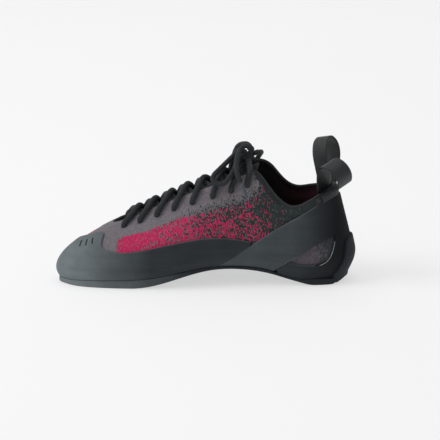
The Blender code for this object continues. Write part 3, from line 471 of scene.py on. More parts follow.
def smooth_path(points, count):
    """Points at even spacing on a Catmull-Rom curve through the given ones."""
    points = np.asarray(points, float)
    padded = np.vstack([2 * points[0] - points[1], points, 2 * points[-1] - points[-2]])
    fine = []
    for i in range(1, len(padded) - 2):
        p0, p1, p2, p3 = padded[i - 1:i + 3]
        for u in np.linspace(0, 1, 12, endpoint=False):
            fine.append(0.5 * (2 * p1 + (p2 - p0) * u + (2 * p0 - 5 * p1 + 4 * p2 - p3) * u**2
                               + (3 * p1 - p0 - 3 * p2 + p3) * u**3))
    fine = np.array([*fine, points[-1]])
    run = run_along(fine)
    return between(np.linspace(0, run[-1], count), run, fine)


def eyelet(k, medial):
    """r and t of the centre of eyelet k, a margin's width below the throat's edge."""
    target = along_to_x(EYELETS_ALONG[k])
    rs = np.linspace(0.2, 0.72, 105) if medial else 2.0 - np.linspace(0.2, 0.72, 105)
    ts = np.linspace(0.6, 1.0, 81)
    found = []
    for r in rs:
        points = skin(np.full_like(ts, r), ts)
        run = np.cumsum(np.linalg.norm(np.diff(points[::-1], axis=0), axis=1))[::-1]
        t = float(np.interp(-EYELET_MARGIN, -np.append(run, 0.0), ts))
        found.append((skin(r, t)[0], t))
    xs = [x for x, _ in found]
    return float(np.interp(target, xs, rs)), float(np.interp(target, xs, [t for _, t in found]))


def rand_top(r):
    """The t of the front rand's upper edge. Below 0 is the lateral side."""
    rows = MEDIAL_RAND_TOP if r >= 0 else [MEDIAL_RAND_TOP[0], *LATERAL_RAND_TOP]
    return t_at_height(r, from_table(rows, abs(r)) * INSTEP_HEIGHT)


def sling_seam(r, seam=SEAM):
    """The t of the front rand's edge along the slingshot, a seam's width above it."""
    clear = [(along, height + seam / HEEL_HEIGHT) for along, height in SLING_TOP]
    return t_on_line(r, clear) if abs(r) > 0.5 else 0.0


def rand_end(side):
    """The r at which the slingshot's seam has climbed to the front rand's upper edge."""
    for r in np.linspace(0.5, 0.8, 121) * side:
        if sling_seam(r) > rand_top(r) - 0.03:
            return r
    return 0.8 * side


def cup_seam(r, seam=SEAM):
    """The t of the heel cup's edge along the slingshot, a seam's width below it."""
    return t_on_line(r, [(along, height - seam / HEEL_HEIGHT) for along, height in SLING_LOW])


def cup_start(side):
    """The station at which the slingshot leaves room for the heel cup under it."""
    for station in np.linspace(0.7, 0.9, 101):
        if cup_seam(station * side) > CUP_TIP:
            return station
    return 0.9


def side_lines():
    """The feather edge, the bed and the sole's lower edge on each side, by X."""
    s = np.linspace(0, 1, 121)
    lines = []
    for r in (s, 2.0 - s):
        edge = feather(r)
        lines.append((edge[:, 0], edge[:, 1], seat(r), ground(r)))
    return lines


def between_sides(x, y, kind):
    """The height of the bed (2) or the ground line (3) at a point, blended from side to side."""
    medial, lateral = SIDES
    near = np.interp(x, medial[0], medial[1])
    far = np.interp(x, lateral[0], lateral[1])
    blend = smooth_step((y - near) / np.maximum(far - near, GAP))
    low, high = np.interp(x, medial[0], medial[kind]), np.interp(x, lateral[0], lateral[kind])
    return low * (1 - blend) + high * blend


def bed(x, y):
    """The underside of the upper's lasting margin."""
    return between_sides(x, y, 2)


def toward_middle(r):
    """The level unit vector at r from the feather edge to the shoe's middle line."""
    edge = feather(r)
    x = np.clip(edge[..., 0], -MIDDLE + BALL_WIDTH * 0.42, MIDDLE - HEEL_WIDTH * 0.52)
    y = (np.interp(x, SIDES[0][0], SIDES[0][1]) + np.interp(x, SIDES[1][0], SIDES[1][1])) / 2
    return unit(stack(x - edge[..., 0], y - edge[..., 1], 0.0))


def sole_edge(r):
    """The sole's outline: the feather edge moved out past the rand, and further under the heel wrap."""
    station = np.where(r > 1.0, 2.0 - r, r)
    share = smooth_step((station - WRAP_BLEND[0]) / (WRAP_BLEND[1] - WRAP_BLEND[0]))
    return feather(r) - inward(r) * (RUBBER + BOND + WELT + HEEL_WRAP_THICKNESS * share)[..., None]


def throat_bridge(s, v):
    """The surface across the throat, from the medial edge (v = 0) to the lateral one."""
    points, leave = [], []
    for r in (s, 2.0 - s):
        points.append(skin(r, 1.0))
        leave.append(unit(skin(r, 1.0) - skin(r, 0.97)))
    width = np.linalg.norm(points[1] - points[0])
    across = (points[1] - points[0]) / width
    leave = [leave[0] + across, leave[1] - across]
    reach = [unit(way) * width * 0.3 for way in leave]
    return bezier(points[0], points[0] + reach[0], points[1] + reach[1], points[1], np.asarray(v, float))


def tongue_rows():
    """The surface under the throat, row by row from the toe end to the tongue's top."""
    under = np.array([0.77, 0.88, 1.0])
    middle = np.linspace(0, 1, 6)[1:-1]
    fans = np.linspace(0.05, -0.05, 10)
    rows = [skin(fans % 2.0, np.full_like(fans, under[0]))]
    for s in [0.10, 0.17, 0.24, 0.31, 0.39, 0.47, 0.54, 0.61, 0.67]:
        medial = skin(np.full_like(under, s), under)
        lateral = skin(np.full_like(under, 2.0 - s), under)[::-1]
        rows.append(np.concatenate([medial, throat_bridge(s, middle), lateral]))
    rise = unit(rows[-1] - rows[-2])
    spread = np.linspace(-1, 1, 10)[:, None]
    last = rows[-1]
    for reach in (0.5, 1.0):
        crown = (1 - spread**2) * TONGUE_THICKNESS * reach
        narrow = np.array([0.0, -1.0, 0.0]) * spread * reach * TONGUE_THICKNESS
        rows.append(last + rise * (reach * TONGUE_REACH + crown) + narrow)
    return np.array(rows)


def knot_centre():
    lift = GAP + KNOT_SIZE / 2 + LACE_DIAMETER * 0.35
    return throat_bridge(KNOT_STATION, np.array(0.5)) + np.array([0, 0, lift])


def at_knot(way, out=0.0):
    """The point a gap and a further distance clear of the knot, in one direction from its centre."""
    return knot_centre() + unit(np.array(way)) * (KNOT_SIZE / 2 + GAP + out)


# What the photo adds to the shape: seams, panels and rubber details, by station and t. PLANE is about
# how many millimetres a station and a t of 1 measure.
PLANE = (250.0, 75.0)
RED_PANEL_REAR = [
    (0.395, 0.686), (0.446, 0.712), (0.498, 0.714), (0.556, 0.722), (0.600, 0.735), (0.645, 0.720),
    (0.690, 0.735), (0.725, 0.820), (0.745, 1.05), (1.10, 1.05), (1.10, -0.1),
]
RED_PANEL_MEDIAL = [
    (0.291, 0.10), (0.284, 0.47), (0.277, 0.53), (0.272, 0.59), (0.276, 0.64), (0.288, 0.670),
    (0.318, 0.672), (0.352, 0.668), *RED_PANEL_REAR,
]
RED_PANEL_LATERAL = [
    (-0.045, 0.10), (-0.040, 0.62), (-0.025, 0.74), (0.020, 0.84), (0.080, 0.835), (0.160, 0.80),
    (0.230, 0.76), (0.300, 0.71), (0.352, 0.672), *RED_PANEL_REAR,
]
RED_SHARE = [
    (0.0, 0.97), (0.330, 0.95), (0.365, 0.82), (0.420, 0.72), (0.480, 0.66), (0.560, 0.52), (0.640, 0.42),
    (0.700, 0.34), (0.760, 0.26), (0.800, 0.16), (0.835, 0.05), (0.86, 0.02), (1.0, 0.02),
]
DARK_SHARE = [
    (0.0, 0.0), (0.360, 0.10), (0.440, 0.35), (0.520, 0.68), (0.640, 0.82), (0.740, 0.90), (0.840, 0.95),
    (1.0, 0.97),
]
# Where the knit seen through the heel windows is painted in shade
WINDOW_ZONE = [(0.80, -0.2), (0.80, 0.55), (0.965, 0.55), (0.965, -0.2)]
# Behind this station the slingshot and the heel cup are one rubber
WINDOW_BACK = 0.885
TOE_SLITS = [
    ((0.082, 0.645), (0.118, 0.560)), ((0.116, 0.672), (0.150, 0.580)), ((0.147, 0.695), (0.177, 0.600)),
]
# Stations of the window's pale cut edge, and the window's lower and rear edge by shares of the length
# and the heel height
WINDOW_ARC = (0.893, 0.936)
WINDOW_CUT = [
    (0.783, 0.271), (0.804, 0.240), (0.830, 0.228), (0.860, 0.224), (0.884, 0.236), (0.901, 0.266),
    (0.911, 0.305), (0.918, 0.355), (0.922, 0.410), (0.924, 0.460), (0.925, 0.530),
]
# Width of the plain dark band under the collar's edge
COLLAR_BAND = 8.0
# The strands through the eyelets look fuller in the photo than the free ends
RUN_FULLNESS = 1.15
CORD_STEP = 0.8
# In metres
WELD_DISTANCE = 0.00001
# The photo's width in pixels, and the pixel at which the frame's origin shows
PHOTO_WIDTH = 440
ORIGIN_PIXEL = (207.0, 275.2)
ZIGZAG_LINE = [
    (0.708, 0.985), (0.722, 0.952), (0.742, 0.925), (0.760, 0.905), (0.785, 0.900), (0.815, 0.915),
]

# Soft folds of the knit: station, t, lean, half length, width and depth, the last three in millimetres
FOLDS = [
    (0.335, 0.72, 1.9, 13, 3.0, 0.5), (0.365, 0.75, 1.9, 12, 3.0, -0.3), (0.400, 0.76, 1.9, 13, 3.4, 0.45),
    (0.600, 0.50, 1.45, 14, 4.0, 0.45), (0.640, 0.52, 1.45, 14, 4.0, -0.3), (0.770, 0.68, 1.2, 12, 3.6, 0.6),
    (0.800, 0.66, 1.2, 11, 3.4, -0.35), (0.845, 0.80, 0.3, 12, 3.2, 0.55), (0.700, 0.60, 2.2, 10, 4.0, 0.4),
]


def paint(code):
    """An sRGB hex colour as linear red, green, blue and alpha."""
    shares = [int(code[i:i + 2], 16) / 255 for i in (1, 3, 5)]
    return [s / 12.92 if s <= 0.04045 else ((s + 0.055) / 1.055) ** 2.4 for s in shares] + [1.0]


def length_size(title, words, millimetres):
    return FloatProperty(name=title, description=words, default=millimetres * MM, min=0.0, unit="LENGTH")


def colour_choice(title, words, code):
    return FloatVectorProperty(name=title, description=words, default=paint(code)[:3], size=3, min=0.0,
                               max=1.0, subtype="COLOR")


class ShoeSizes(bpy.types.PropertyGroup):
    """Sizes of the thin details."""

    rubber: length_size("Rubber", "Thickness of the rand rubber", RUBBER)
    seam: length_size("Rubber seam", "Open width between two pieces of rubber", 0.25)
    lace: length_size("Lace", "Diameter of the round lace", LACE_DIAMETER * 1.1)
    roll: length_size("Edge roll", "Thickness of the turned edge at the throat and collar", 1.5)
    thread: length_size("Thread", "Diameter of the sewing thread", 0.45)
    stitch: length_size("Stitch", "Length of one stitch", 2.6)
    speck: length_size("Speck", "Width of one coloured stitch of the knit", 0.78)


class ShoeColours(bpy.types.PropertyGroup):
    """Colours of the materials."""

    red_yarn: colour_choice("Red yarn", "Yarn of the bright side panel", "#c02a5c")
    grey_yarn: colour_choice("Grey yarn", "Yarn of the eyestay and the toe", "#767176")
    dark_yarn: colour_choice("Dark yarn", "Yarn of the quarter and the collar", "#2c3534")
    lining: colour_choice("Lining", "Knit inside the shoe", "#0a0809")
    # Painted light: the toe rubber's pale tone stands for light on the toe's front; the rubber there is the
    # same dark slate as behind.
    lit_toe_rubber: colour_choice("Toe rubber", "Rubber over the toes", "#6e7679")
    rear_rubber: colour_choice("Rear rubber", "Rubber behind the arch", "#2d3236")
    band_rubber: colour_choice("Slingshot rubber", "Rubber of the tensioned band", "#43494d")
    sole_rubber: colour_choice("Sole rubber", "Rubber of the sole behind the ball", "#23282c")
    # Painted shade: the heel rubber's near-black tone stands for shade on the back of the heel, away from
    # the light.
    heel_rubber_shade: colour_choice("Heel rubber", "Rubber at the back of the heel", "#0e1113")
    webbing: colour_choice("Webbing", "Tape of the pull loops and the heel tab", "#0e1113")
    lace: colour_choice("Lace", "Braid of the lace", "#23292d")
    thread: colour_choice("Thread", "Sewing thread", "#15191b")
    floor: colour_choice("Floor", "Floor and backdrop", "#aeaeaf")


class ShoeStage(bpy.types.PropertyGroup):
    """The photographer's set-up."""

    azimuth: FloatProperty(name="Azimuth", description="Camera's turn from the medial side towards the heel",
                           default=math.radians(3.0), subtype="ANGLE")
    elevation: FloatProperty(name="Elevation", description="Camera's height angle",
                             default=math.radians(15.0), subtype="ANGLE")
    distance: FloatProperty(name="Distance", description="Camera's distance from the shoe", default=1.6,
                            unit="LENGTH")
    view_width: FloatProperty(name="View width", description="Width of what the camera sees at the shoe",
                              default=0.387, unit="LENGTH")
    key_power: FloatProperty(name="Key light", description="Power of the large light", default=27.0,
                             subtype="POWER")
    sky: FloatProperty(name="Room light", description="Strength of the even light of the room", default=0.42)


def station_of(r):
    """The station of r, and whether it is on the medial side."""
    r = np.mod(r, 2.0)
    return np.where(r > 1.0, 2.0 - r, r), r <= 1.0


def inside_outline(s, t, outline):
    """Distance in millimetres inside an outline of stations and t, negative outside it."""
    a, b = s * PLANE[0], t * PLANE[1]
    corners = np.array(outline) * PLANE
    near = np.full(np.shape(a), 1e9)
    crossings = np.zeros(np.shape(a), dtype=int)
    for (x0, y0), (x1, y1) in zip(corners, np.roll(corners, -1, axis=0)):
        share = ((a - x0) * (x1 - x0) + (b - y0) * (y1 - y0)) / ((x1 - x0) ** 2 + (y1 - y0) ** 2)
        share = np.clip(share, 0, 1)
        near = np.minimum(near, np.hypot(a - x0 - share * (x1 - x0), b - y0 - share * (y1 - y0)))
        spans = (y0 > b) != (y1 > b)
        meets = x0 + (b - y0) * (x1 - x0) / (y1 - y0 if y1 != y0 else 1.0)
        crossings += spans & (a < meets)
    return np.where(crossings % 2 == 1, near, -near)


def signed_station(r):
    """The station of r, below 0 just past the toe on the other side, for each side's own outline."""
    r = np.mod(r, 2.0)
    medial = np.where(r > 1.5, r - 2.0, r)
    lateral = np.where(r < 0.5, -r, 2.0 - r)
    return medial, lateral


def red_panel(r, t):
    """Distance in millimetres inside the bright panel of either side."""
    medial, lateral = signed_station(r)
    one = np.where(medial <= 1.0, inside_outline(medial, t, RED_PANEL_MEDIAL), -1e3)
    other = np.where(lateral <= 1.0, inside_outline(lateral, t, RED_PANEL_LATERAL), -1e3)
    return np.maximum(one, other)


def collar_run(r, t):
    """Distance in millimetres below the edge of the throat and collar."""
    return np.linalg.norm(skin(r, np.ones_like(t)) - skin(r, t), axis=-1)


def knit_zones(r, t):
    """Shares of red and of dark yarn at a point of the upper. Below 0, the first is the share of the knit in
    the heel window that is painted in shade, as mauve-grey.
    """
    s, _ = station_of(r)
    inside = red_panel(r, t)
    rear = smooth_step((s - 0.40) / 0.12)
    panel = smooth_step(inside / (1.6 + 3.0 * rear) + 0.5 * (1 - rear))
    height = np.clip((t - 0.35) / 0.35, 0, 1)
    red = from_table(RED_SHARE, s) * (1 - 0.75 * height * smooth_step((s - 0.42) / 0.2))
    spread = panel * (1 - rear) + smooth_step((inside + 7.0) / 16.0) * rear
    dark = from_table(DARK_SHARE, s)
    band = smooth_step((COLLAR_BAND - collar_run(r, t)) / 2) * smooth_step((s - 0.70) / 0.02)
    window = smooth_step(inside_outline(s, t, WINDOW_ZONE) / 6)
    red = red * panel * (1 - band)
    dark = np.maximum(dark * spread, band * 0.95)
    # In the heel window the red gives way to the painted-shade share, and the dark share grows towards the
    # rear
    red = red * (1 - window) - window * (1.0 - 0.75 * smooth_step((s - 0.868) / 0.04))
    dark = dark * (1 - window) + (0.25 + 0.7 * smooth_step((s - 0.85) / 0.08)) * window
    covered = smooth_step((0.30 - t) / 0.05) * (s < 0.79)
    red, dark = red * (1 - covered), np.maximum(dark, covered)
    return np.stack([red, dark], axis=-1)


def knit_relief(r, t):
    """How far the knit stands out of the last: eyestay, padded collar, pulled eyelets and soft folds."""
    s, _ = station_of(r)
    points = skin(r, t)
    rise = 0.3 * smooth_step(-red_panel(r, t) / 3.0 + 0.5) * (s < 0.74)
    run = collar_run(r, t)
    rise = rise + 0.9 * smooth_step((s - 0.69) / 0.04) * np.sin(np.pi * np.clip(run / 11.0, 0, 1)) ** 2
    for r_hole, t_hole in EYELETS.values():
        centre = skin(r_hole, t_hole)
        gap = np.linalg.norm(points - centre, axis=-1)
        rise = rise - 0.45 * np.exp(-((gap / 4.2) ** 2))
    for station, height, lean, half, width, depth in FOLDS:
        a, b = (s - station) * PLANE[0], (t - height) * PLANE[1]
        along = a * math.cos(lean) + b * math.sin(lean)
        aside = -a * math.sin(lean) + b * math.cos(lean)
        rise = rise - depth * np.exp(-((aside / width) ** 2)) * smooth_step(1.2 - np.abs(along) / half)
    return rise


def deselect():
    if bpy.context.object and bpy.context.object.mode != "OBJECT":
        bpy.ops.object.mode_set(mode="OBJECT")
    bpy.ops.object.select_all(action="DESELECT")


def weld(piece, outward=False):
    """Joins a grid where its edges meet, and may turn its faces outward."""
    deselect()
    piece.select_set(True)
    bpy.context.view_layer.objects.active = piece
    bpy.ops.object.mode_set(mode="EDIT")
    bpy.ops.mesh.select_all(action="SELECT")
    bpy.ops.mesh.remove_doubles(threshold=WELD_DISTANCE)
    if outward:
        bpy.ops.mesh.normals_make_consistent(inside=False)
    bpy.ops.object.mode_set(mode="OBJECT")


def laid(name, columns, rows, place, zones=None, closed=False):
    """A grid primitive laid on the shoe: place turns u and v, both 0 to 1, into millimetres.
    Its UV maps are Weave, the run along and across in metres, and Zones, what zones gives."""
    deselect()
    bpy.ops.mesh.primitive_grid_add(x_subdivisions=columns, y_subdivisions=rows, size=2.0)
    piece = bpy.context.object
    piece.name = piece.data.name = name
    mesh = piece.data
    flat = np.empty(len(mesh.vertices) * 3)
    mesh.vertices.foreach_get("co", flat)
    u, v = (flat[0::3] + 1) / 2, (flat[1::3] + 1) / 2
    wide = len(np.unique(np.round(u, 6)))
    points = place(u, v)
    order = np.lexsort((np.round(u, 6), np.round(v, 6)))
    table = points[order].reshape(-1, wide, 3) * MM
    run = np.zeros((*table.shape[:2], 2))
    run[:, 1:, 0] = np.cumsum(np.linalg.norm(np.diff(table[len(table) // 2], axis=0), axis=1))
    run[1:, :, 1] = np.cumsum(np.linalg.norm(np.diff(table, axis=0), axis=2), axis=0)
    weave = np.empty((len(u), 2))
    weave[order] = run.reshape(-1, 2)
    maps = {"Weave": weave}
    if zones:
        maps["Zones"] = zones(u, v)
    corners = np.empty(len(mesh.loops), dtype=np.int32)
    mesh.loops.foreach_get("vertex_index", corners)
    while mesh.uv_layers:
        mesh.uv_layers.remove(mesh.uv_layers[0])
    for title, values in maps.items():
        layer = mesh.uv_layers.new(name=title)
        layer.uv.foreach_set("vector", values[corners].astype(np.float32).ravel())
    mesh.vertices.foreach_set("co", (points * MM).astype(np.float32).ravel())
    mesh.update()
    if closed:
        weld(piece, outward=True)
    bpy.ops.object.shade_smooth()
    return piece


def finish_with(piece, kind, **settings):
    """Gives a piece a modifier and applies it."""
    modifier = piece.modifiers.new(kind.title(), kind)
    for key, value in settings.items():
        setattr(modifier, key, value)
    bpy.context.view_layer.objects.active = piece
    bpy.ops.object.modifier_apply(modifier=modifier.name)
    return piece


def dress(piece, slot, nodes, *materials):
    """Gives a piece its finish and its place in the frame."""
    for material in materials:
        piece.data.materials.append(material)
    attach(piece, "root")
    if nodes:
        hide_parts(*nodes)
    return piece


def crowded(v, amount=0.9):
    """v with its steps closer together at both ends."""
    return v - amount * np.sin(2 * np.pi * v) / (2 * np.pi)


def behind_window(r):
    """1 behind the heel windows, where the slingshot and the heel cup are one smooth rubber."""
    s, _ = station_of(r)
    return smooth_step((s - WINDOW_BACK) / 0.008)


def eased(values, reach=9):
    """A line with its small corners smoothed."""
    share = np.hanning(reach + 2)[1:-1]
    wide = np.pad(values, reach // 2, mode="edge")
    return np.convolve(wide, share / share.sum(), mode="valid")


def on_last(name, first, last, low_line, high_line, thick, columns, rows, relief=None, edge=1.3,
            fused=(0.0, 0.0), sunk=0.0):
    """A sheet glued on the last between two lines, with rounded edges. Behind the windows a fused
    lower or upper edge runs smoothly into the next sheet. sunk is how far the lower edge is tucked in."""
    stations = np.linspace(first, last, 560)
    low = eased(np.array([low_line(r) for r in stations]))
    high = eased(np.array([high_line(r) for r in stations]), 13 if relief else 7)

    def spot(u, v):
        """r, t, the run up from the lower edge, and the distance to the nearest open edge."""
        r = first + (last - first) * u
        lower, upper = np.interp(r, stations, low), np.interp(r, stations, high)
        height = np.linalg.norm(skin(r, upper) - skin(r, lower), axis=-1)
        run = height * crowded(v)
        joined = behind_window(r) * 9.0
        near = np.minimum(run + sunk + joined * fused[0], height - run + joined * fused[1])
        return r, lower + (upper - lower) * crowded(v), run, near

    def place(u, v):
        r, t, run, near = spot(u, v)
        rise = BOND + thick * np.sqrt(1 - (1 - np.clip(near / edge, 0, 1)) ** 2)
        if relief:
            rise = rise + relief(r, t) * np.clip(near / 3.0, 0, 1)
        points = offset(r, t, rise)
        points[:, 2] = np.maximum(points[:, 2], bed(points[:, 0], points[:, 1]) + GAP / 2)
        points[:, 2] -= (sunk > 0) * (GAP + 0.5) * np.clip(1 - run / 1.2, 0, 1)
        return points

    def zones(u, v):
        _, t, _, near = spot(u, v)
        return np.stack([1 - np.clip(near / 1.6, 0, 1), t], axis=-1)

    piece = laid(name, columns, rows, place, zones)
    return finish_with(piece, "SOLIDIFY", thickness=0.35 * MM, offset=-1.0)


def sides_along(path):
    """Two directions across a path, which turn as little as they can."""
    ahead = unit(np.gradient(path, axis=0))
    side = np.cross(ahead[0], [0.31, 0.62, 0.72])
    sides = []
    for direction in ahead:
        side = unit(side - direction * (side @ direction))
        sides.append(side)
    sides = np.array(sides)
    return sides, np.cross(ahead, sides)


def ring_ahead(line):
    """The direction of a ring at each of its points, of which the last is the first again."""
    ahead = np.roll(line[:-1], -1, axis=0) - np.roll(line[:-1], 1, axis=0)
    return unit(np.vstack([ahead, ahead[0]]))


def tube(name, line, sides, others, radius, around=12):
    """A closed skin round a line in millimetres, with two directions across it."""
    last = len(line) - 1

    def place(u, v):
        i = np.round(u * last).astype(int)
        angle = 2 * np.pi * v
        turn = sides[i] * np.cos(angle)[:, None] + others[i] * np.sin(angle)[:, None]
        return line[i] + turn * radius[i][:, None]

    return laid(name, last, around, place, closed=True)


def cord_piece(name, path, diameter, around=12):
    """A round cord along a path in millimetres, with rounded ends."""
    path = np.asarray(path, float)
    run = run_along(path)
    end = np.clip(np.minimum(run, run[-1] - run) / (diameter * 0.35), 0, 1)
    radius = diameter / 2 * np.sqrt(1 - (1 - end) ** 2)
    return tube(name, path, *sides_along(path), radius, around)


def close_ends(points, diameter):
    """A path with extra points close to its ends, where the cord is rounded."""
    points = np.asarray(points, float)
    steps = np.array([0.0, 0.012, 0.05, 0.12, 0.22, 0.35]) * diameter
    head = points[0] + np.outer(steps, unit(points[1] - points[0]))
    tail = points[-1] + np.outer(steps, unit(points[-2] - points[-1]))
    run = run_along(points)
    middle = np.minimum(run, run[-1] - run) > 0.5 * diameter
    return np.vstack([head, points[middle], tail[::-1]])


def on_skin(rows, lift, count):
    """A path along stations and t of the medial side, or of the lateral one below 0."""
    rows = np.asarray(rows, float)
    share = np.linspace(0, 1, len(rows))
    dense = np.linspace(0, 1, count)
    r = np.interp(dense, share, rows[:, 0])
    t = np.interp(dense, share, rows[:, 1])
    return offset(r, t, np.full(count, lift))


def stitches(name, path, thread, length, swing=0.0, out=None):
    """A row of stitches: one thread that dips under the surface between them, or swings to and fro."""
    run = run_along(path)
    wanted = np.linspace(0, run[-1], max(int(run[-1] / length * 8), 8))
    line, up = between(wanted, run, path), unit(between(wanted, run, out))
    phase = 2 * np.pi * wanted / length
    if swing:
        zigzag = 2 * np.abs(np.mod(wanted / length, 1.0) - 0.5) * 2 - 1
        ahead = unit(np.gradient(line, axis=0))
        line = line + np.cross(up, ahead) * (zigzag * swing)[:, None] + up * thread * 0.3
    else:
        line = line + up * (thread * (0.9 * np.tanh(2.2 * np.cos(phase) + 1.1) - 0.35))[:, None]
    return cord_piece(name, close_ends(line, thread), thread, around=6)


def connect(material, target, inputs):
    """Sets the inputs of a node, or links them where a value is another node's socket."""
    for socket, value in inputs.items():
        if isinstance(value, bpy.types.NodeSocket):
            material.node_tree.links.new(value, target.inputs[socket])
        else:
            target.inputs[socket].default_value = value


def node(material, kind, inputs=None, **settings):
    """Adds one node with its settings and its inputs."""
    made = material.node_tree.nodes.new(kind)
    for key, value in settings.items():
        setattr(made, key, value)
    connect(material, made, inputs or {})
    return made


def uv(material, name):
    return node(material, "ShaderNodeUVMap", uv_map=name).outputs["UV"]


def in_object(material):
    return node(material, "ShaderNodeTexCoord").outputs["Object"]


def axis(material, vector, letter):
    return node(material, "ShaderNodeSeparateXYZ", {"Vector": vector}).outputs[letter]


def noise(material, vector, scale, **inputs):
    found = {"Vector": vector, "Scale": scale, **inputs}
    return node(material, "ShaderNodeTexNoise", found).outputs["Fac"]


def wave(material, vector, scale, distortion=0.0, **settings):
    inputs = {"Vector": vector, "Scale": scale, "Distortion": distortion}
    return node(material, "ShaderNodeTexWave", inputs, **settings).outputs["Fac"]


def mixed(material, share, low, high):
    """Two colours mixed by a share."""
    return node(material, "ShaderNodeMixRGB", {"Fac": share, "Color1": low, "Color2": high}).outputs[0]


def ranged(material, value, start, end, low=0.0, high=1.0):
    """A value taken from one range to another."""
    return node(material, "ShaderNodeMapRange", {"Value": value, "From Min": start, "From Max": end,
                                                 "To Min": low, "To Max": high}).outputs[0]


def computed(material, operation, *values):
    return node(material, "ShaderNodeMath", dict(enumerate(values)), operation=operation).outputs[0]


def lightened(material, value, colour):
    return node(material, "ShaderNodeHueSaturation", {"Value": value, "Color": colour}).outputs[0]


def bump(material, height, strength, depth):
    """Relief from a height, with its depth in metres."""
    return node(material, "ShaderNodeBump", {"Height": height, "Strength": strength,
                                             "Distance": depth}).outputs[0]


def new_finish(name):
    """An empty material with its surface shader."""
    material = bpy.data.materials.new(name)
    material.use_nodes = True
    return material, material.node_tree.nodes["Principled BSDF"]


def rgba(colour):
    return [*colour, 1.0]


def knitted_upper(colours, sizes):
    """Engineered knit of polyester yarn: matt, with single coloured stitches that scatter like specks."""
    material, shader = new_finish("Knitted polyester yarn")
    weave = uv(material, "Weave")
    shares = node(material, "ShaderNodeSeparateXYZ", {"Vector": uv(material, "Zones")}).outputs
    across = 1.0 / sizes.speck
    cells = node(material, "ShaderNodeMapping", {"Vector": weave, "Rotation": (0, 0, -0.25),
                                                 "Scale": (across, across * 0.62, 1.0)}).outputs[0]
    stitch = node(material, "ShaderNodeTexVoronoi", {"Vector": cells, "Scale": 1.0, "Randomness": 0.9},
                  voronoi_dimensions="2D").outputs
    dice = node(material, "ShaderNodeSeparateColor", {"Color": stitch["Color"]}).outputs
    drift = node(material, "ShaderNodeTexNoise", {"Vector": weave, "Scale": 130.0, "Detail": 3.0},
                 noise_dimensions="2D").outputs["Fac"]
    drift = ranged(material, drift, 0.3, 0.7, -0.22, 0.22)
    # The drift is held back where nearly all or nearly no stitches are red
    level = computed(material, "MAXIMUM", shares["X"], 0.0)
    held = computed(material, "SUBTRACT", level, 1.0)
    held = computed(material, "MULTIPLY", held, level)
    held = computed(material, "MULTIPLY", held, -4.0)
    red_share = computed(material, "MULTIPLY_ADD", drift, held, level)
    red = computed(material, "LESS_THAN", dice["Red"], red_share)
    dark = computed(material, "LESS_THAN", dice["Green"], shares["Y"])
    base = mixed(material, computed(material, "MULTIPLY", shares["Y"], 0.6),
                 rgba(colours.grey_yarn), rgba(colours.dark_yarn))
    base = mixed(material, dark, base, rgba(colours.dark_yarn))
    base = mixed(material, red, base, rgba(colours.red_yarn))
    # Painted shade: the knit in the heel window is mixed towards mauve-grey, the grey yarn as it looks in
    # shade
    base = mixed(material, computed(material, "MULTIPLY", shares["X"], -1.0), base, paint("#574f58"))
    base = lightened(material, ranged(material, dice["Blue"], 0.0, 1.0, 0.8, 1.15), base)
    nub = computed(material, "SUBTRACT", 1.0, stitch["Distance"])
    connect(material, shader, {"Base Color": base, "Normal": bump(material, nub, 0.55, 0.0004),
                               "Roughness": 0.92, "Sheen Weight": 0.12, "Specular IOR Level": 0.25})
    return material


def brushed_lining(colours, name="Brushed nylon lining", code=None):
    """Brushed nylon knit inside the shoe: it swallows the light, and only its fine mesh shows."""
    material, shader = new_finish(name)
    mesh = node(material, "ShaderNodeTexVoronoi", {"Vector": uv(material, "Weave"), "Scale": 900.0,
                                                   "Randomness": 0.35}, voronoi_dimensions="2D")
    mesh = mesh.outputs["Distance"]
    tone = mixed(material, mesh, code or rgba(colours.lining), paint("#050404"))
    heel = ranged(material, axis(material, in_object(material), "X"), 0.055, 0.1)
    tone = mixed(material, heel, tone, paint("#3d0f1d"))
    connect(material, shader, {"Base Color": tone, "Normal": bump(material, mesh, 0.5, 0.0003),
                               "Roughness": 0.95, "Sheen Weight": 0.05})
    return material


def sheet_rubber(name, light, dark, reach, edges=True):
    """Calendered climbing rubber: matt slate, a little paler where it was buffed and along cut edges.
    Its tone goes from light to dark between the two X of reach: where the light end is the toe rubber it is
    painted light on the toe, and where the dark end is the heel rubber it is painted shade at the back of
    the heel."""
    material, shader = new_finish(name)
    place = in_object(material)
    # Painted light and shade by X: lighter towards the toe, darker towards the back of the heel
    tone = mixed(material, ranged(material, axis(material, place, "X"), *reach), rgba(light), rgba(dark))
    smudge = noise(material, place, 38.0, Detail=5.0, Roughness=0.62)
    tone = lightened(material, ranged(material, smudge, 0.3, 0.75, 0.8, 1.22), tone)
    drawn = node(material, "ShaderNodeMapping", {"Vector": place, "Scale": (9.0, 30.0, 170.0),
                                                 "Rotation": (0, 0.12, 0)}).outputs[0]
    streak = noise(material, drawn, 1.0, Detail=4.0, Distortion=0.6)
    tone = lightened(material, ranged(material, streak, 0.35, 0.7, 0.93, 1.1), tone)
    if edges:
        near = computed(material, "POWER", axis(material, uv(material, "Zones"), "X"), 3.0)
        tone = mixed(material, computed(material, "MULTIPLY", near, 0.32), tone, paint("#878d91"))
    grain = noise(material, place, 2200.0, Detail=2.0)
    connect(material, shader, {"Base Color": tone, "Normal": bump(material, grain, 0.22, 0.0002),
                               "Roughness": ranged(material, smudge, 0.3, 0.7, 0.7, 0.85),
                               "Specular IOR Level": 0.2})
    return material


def woven_tape(colours):
    """Woven polyester webbing: fine ribs across a dark tape, with a dull silk shine."""
    material, shader = new_finish("Woven polyester webbing")
    weave = uv(material, "Weave")
    warp = wave(material, weave, 240.0, 0.4, bands_direction="X")
    weft = wave(material, weave, 160.0, 0.4, bands_direction="Y")
    cross = computed(material, "MULTIPLY", warp, weft)
    tone = mixed(material, cross, rgba(colours.webbing), paint("#2d3236"))
    connect(material, shader, {"Base Color": tone, "Normal": bump(material, cross, 0.5, 0.0003),
                               "Roughness": 0.48, "Sheen Weight": 0.03})
    return material


